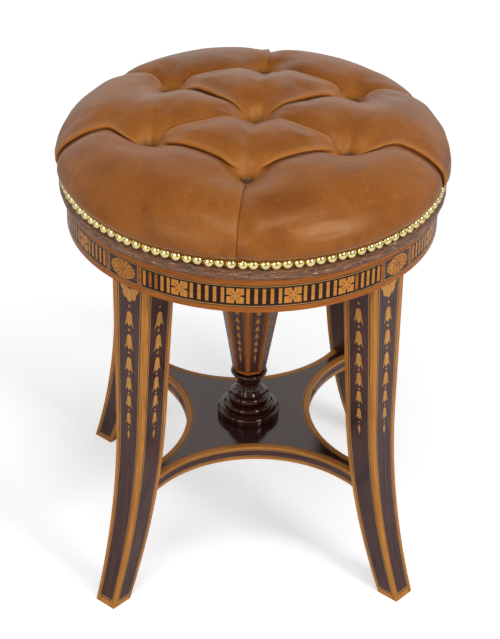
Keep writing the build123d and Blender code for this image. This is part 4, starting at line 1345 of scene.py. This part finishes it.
def swell_cover(shape, count, held):
    """Carries the blown-out shape over to the first points of the cover, no further than the limit."""
    before, moves = swelling(shape.points, shape.faces, held)
    tree = nearest_tree(before)
    for index in range(count):
        place = Vector(shape.points[index])
        move = Vector()
        total = 0.0
        for _, near, away in tree.find_n(place, 6):
            share = 1.0 / (away + 0.002) ** 2
            move += moves[near] * share
            total += share
        move /= total
        if move.length > SWELL_LIMIT * MM:
            move *= SWELL_LIMIT * MM / move.length
        shape.points[index] = tuple(place + move)


def build_cushion():
    grid = cushion_grid()
    shape = Shape()
    marks = {"hollow": [], "edge_wear_and_highlight": [], "painted_pit_shade": []}
    rows = []
    for line in grid:
        row = []
        for place, hollow, edge_wear_and_highlight in line:
            row.append(shape.point(place))
            # Painted shade of the tuft pits, by the distance to the nearest tuft
            away = min(hypot(place[0] - x, place[1] - y) for x, y in set_tufts)
            marks["hollow"].append(hollow)
            marks["edge_wear_and_highlight"].append(edge_wear_and_highlight)
            marks["painted_pit_shade"].append(exp(-((max(0.0, away - PIT_SHADE_FLAT) / PIT_SHADE_SPREAD) ** 2)))
        rows.append(row)
    shape.bridge(rows)
    shape.face(reversed(rows[0]))
    count = len(shape.points)
    # Turned under the skirt and closed over the board
    under = []
    for radius, height in UNDER_PROFILE:
        row = []
        for index in rows[-1]:
            x, y, _ = shape.points[index]
            scale = radius / hypot(x / MM, y / MM)
            row.append(shape.point((x / MM * scale, y / MM * scale, height)))
            for values in marks.values():
                values.append(0.0)
        under.append(row)
    shape.bridge([rows[-1]] + under)
    shape.face(under[-1])
    swell_cover(shape, count, held_points(grid))
    item = shape.piece("tufted_leather", "seat", [HIDE], ["seat_leather", "seat_stuffing"], 180.0)
    for name, values in marks.items():
        layer = item.data.attributes.new(name, "FLOAT", "POINT")
        layer.data.foreach_set("value", values)
    smoother = item.modifiers.new("smooth_cover", "SUBSURF")
    smoother.levels = 1
    smoother.render_levels = 1


build_cushion()


# Buttons at the bottoms of the tufts, in leather painted dark as the shade there
def build_buttons():
    shape = Shape()
    for x, y in set_tufts:
        dome(shape, lambda u, v, rise: (x + u, y + v, TUFT_BOTTOM + rise), BUTTON_RADIUS, BUTTON_DOME, 24, 7)
    shape.piece("covered_buttons", "seat", [DARK_HIDE], ["tuft_buttons"], 60.0)


def build_twine():
    """Twine from under each button down through the board."""
    shape = Shape()
    for tuft in set_tufts:
        ring = [around(tuft, TWINE_RADIUS, angle) for angle in range(0, 360, 36)]
        rows = []
        for height in (BOARD_BOTTOM, TUFT_BOTTOM):
            rows.append([shape.point((x, y, height)) for x, y in ring])
        shape.solid(rows)
    shape.piece("waxed_twine", "seat", [TWINE], ["tufting_twine"], 40.0)


build_buttons()
build_twine()

# Floor, light and camera
FLOOR_HALF = 6.0
WHITE = (1.0, 1.0, 1.0, 1.0)
floor_mesh = bpy.data.meshes.new("floor")
floor_corners = [(x * FLOOR_HALF, y * FLOOR_HALF, 0.0) for x, y in ((-1, -1), (1, -1), (1, 1), (-1, 1))]
floor_mesh.from_pydata(floor_corners, [], [(0, 1, 2, 3)])
floor = add_object("floor", floor_mesh)
floor_material, floor_tree, floor_shader = new_material("pale_floor")
set_inputs(floor_shader, Base_Color=(0.85, 0.85, 0.86, 1.0), Roughness=0.9, Specular_IOR_Level=0.1)

# Seen by the camera the floor glows, less under the stool than far away: the weaker glow round the stool is
# a painted shadow
floor_seen = add_node(floor_tree, "ShaderNodeLightPath").outputs["Is Camera Ray"]
floor_reach = add_node(floor_tree, "ShaderNodeVectorMath", operation="LENGTH")
floor_tree.links.new(coordinates(floor_tree, "Object"), floor_reach.inputs[0])
floor_share = combined(floor_tree, "DIVIDE", floor_reach.outputs["Value"], FLOOR_HALF)
# Painted shadow: the glow is weaker near the stool
floor_glow_with_painted_shadow = ramp(floor_tree, floor_share, (0.02, 0.43), (0.09, 0.49), (0.35, 0.80))
set_inputs(floor_shader, Emission_Color=WHITE)
floor_glow = combined(floor_tree, "MULTIPLY", floor_seen, floor_glow_with_painted_shadow)
feed(floor_tree, floor_glow, floor_shader, "Emission Strength")
floor_mesh.materials.append(floor_material)

# The world lights the object softly. Seen or mirrored it is a white backdrop, dimmer overhead and in front
world = bpy.data.worlds.new("studio")
world.use_nodes = True
bpy.context.scene.world = world
world_tree = world.node_tree
soft = world_tree.nodes["Background"]
set_inputs(soft, Color=WHITE, Strength=0.30)
backdrop = add_node(world_tree, "ShaderNodeBackground")
paths = add_node(world_tree, "ShaderNodeLightPath").outputs
direction = add_node(world_tree, "ShaderNodeSeparateXYZ")
world_tree.links.new(coordinates(world_tree, "Generated"), direction.inputs[0])
overhead = ramp(world_tree, direction.outputs["Z"], (0.58, 1.0), (0.85, 0.30))
behind = ramp(world_tree, direction.outputs["Y"], (0.0, 0.30), (0.35, 1.0))
mirrored = mixed(world_tree, 1.0, overhead, behind, "MULTIPLY")
feed(world_tree, mixed(world_tree, paths["Is Camera Ray"], mirrored, WHITE[:3]), backdrop, "Color")
seen = combined(world_tree, "MAXIMUM", paths["Is Camera Ray"], paths["Is Glossy Ray"])
seen = combined(world_tree, "MAXIMUM", seen, paths["Is Transmission Ray"])
both = add_node(world_tree, "ShaderNodeMixShader")
for socket, source in zip(both.inputs, (seen, soft.outputs[0], backdrop.outputs[0])):
    world_tree.links.new(source, socket)
feed(world_tree, both.outputs[0], world_tree.nodes["World Output"], "Surface")


def soft_light(name, place, target, size, power):
    lamp = bpy.data.lights.new(name, "AREA")
    lamp.shape = "RECTANGLE"
    lamp.size, lamp.size_y = size
    lamp.energy = power
    item = add_object(name, lamp)
    item.location = place
    item.rotation_mode = "QUATERNION"
    item.rotation_quaternion = (Vector(target) - Vector(place)).to_track_quat("-Z", "Y")


soft_light("key", (1.5, -1.6, 1.45), (0.0, 0.0, 0.35), (0.7, 0.7), 28.0)
soft_light("fill", (-1.5, -1.7, 1.1), (0.0, 0.0, 0.30), (1.6, 1.6), 20.0)
soft_light("overhead", (0.10, -0.66, 1.95), (0.05, 0.0, 0.40), (1.5, 0.18), 11.5)

CAMERA_AZIMUTH = -4.0
CAMERA_ELEVATION = 32.71
CAMERA_DISTANCE = 2.3046
CAMERA_TARGET = Vector((0.0, 0.0, 0.2385))
CAMERA_ROLL = 1.12
FOCAL_PIXELS = 2295.3
PHOTO_HEIGHT = 639.0
SENSOR_WIDTH = 36.0
camera_data = bpy.data.cameras.new("camera")
camera_data.sensor_width = SENSOR_WIDTH
camera_data.lens = FOCAL_PIXELS * SENSOR_WIDTH / PHOTO_HEIGHT
camera = add_object("camera", camera_data)
back = Vector((
    sin(radians(CAMERA_AZIMUTH)) * cos(radians(CAMERA_ELEVATION)),
    -cos(radians(CAMERA_AZIMUTH)) * cos(radians(CAMERA_ELEVATION)),
    sin(radians(CAMERA_ELEVATION)),
))
camera.location = CAMERA_TARGET + back * CAMERA_DISTANCE
camera.rotation_mode = "QUATERNION"
level = Vector((cos(radians(CAMERA_AZIMUTH)), sin(radians(CAMERA_AZIMUTH)), 0.0))
right = level * cos(radians(CAMERA_ROLL)) + back.cross(level) * sin(radians(CAMERA_ROLL))
camera.rotation_quaternion = Matrix((right, back.cross(right), back)).transposed().to_quaternion()
bpy.context.scene.camera = camera
bpy.context.scene.view_settings.view_transform = "Standard"
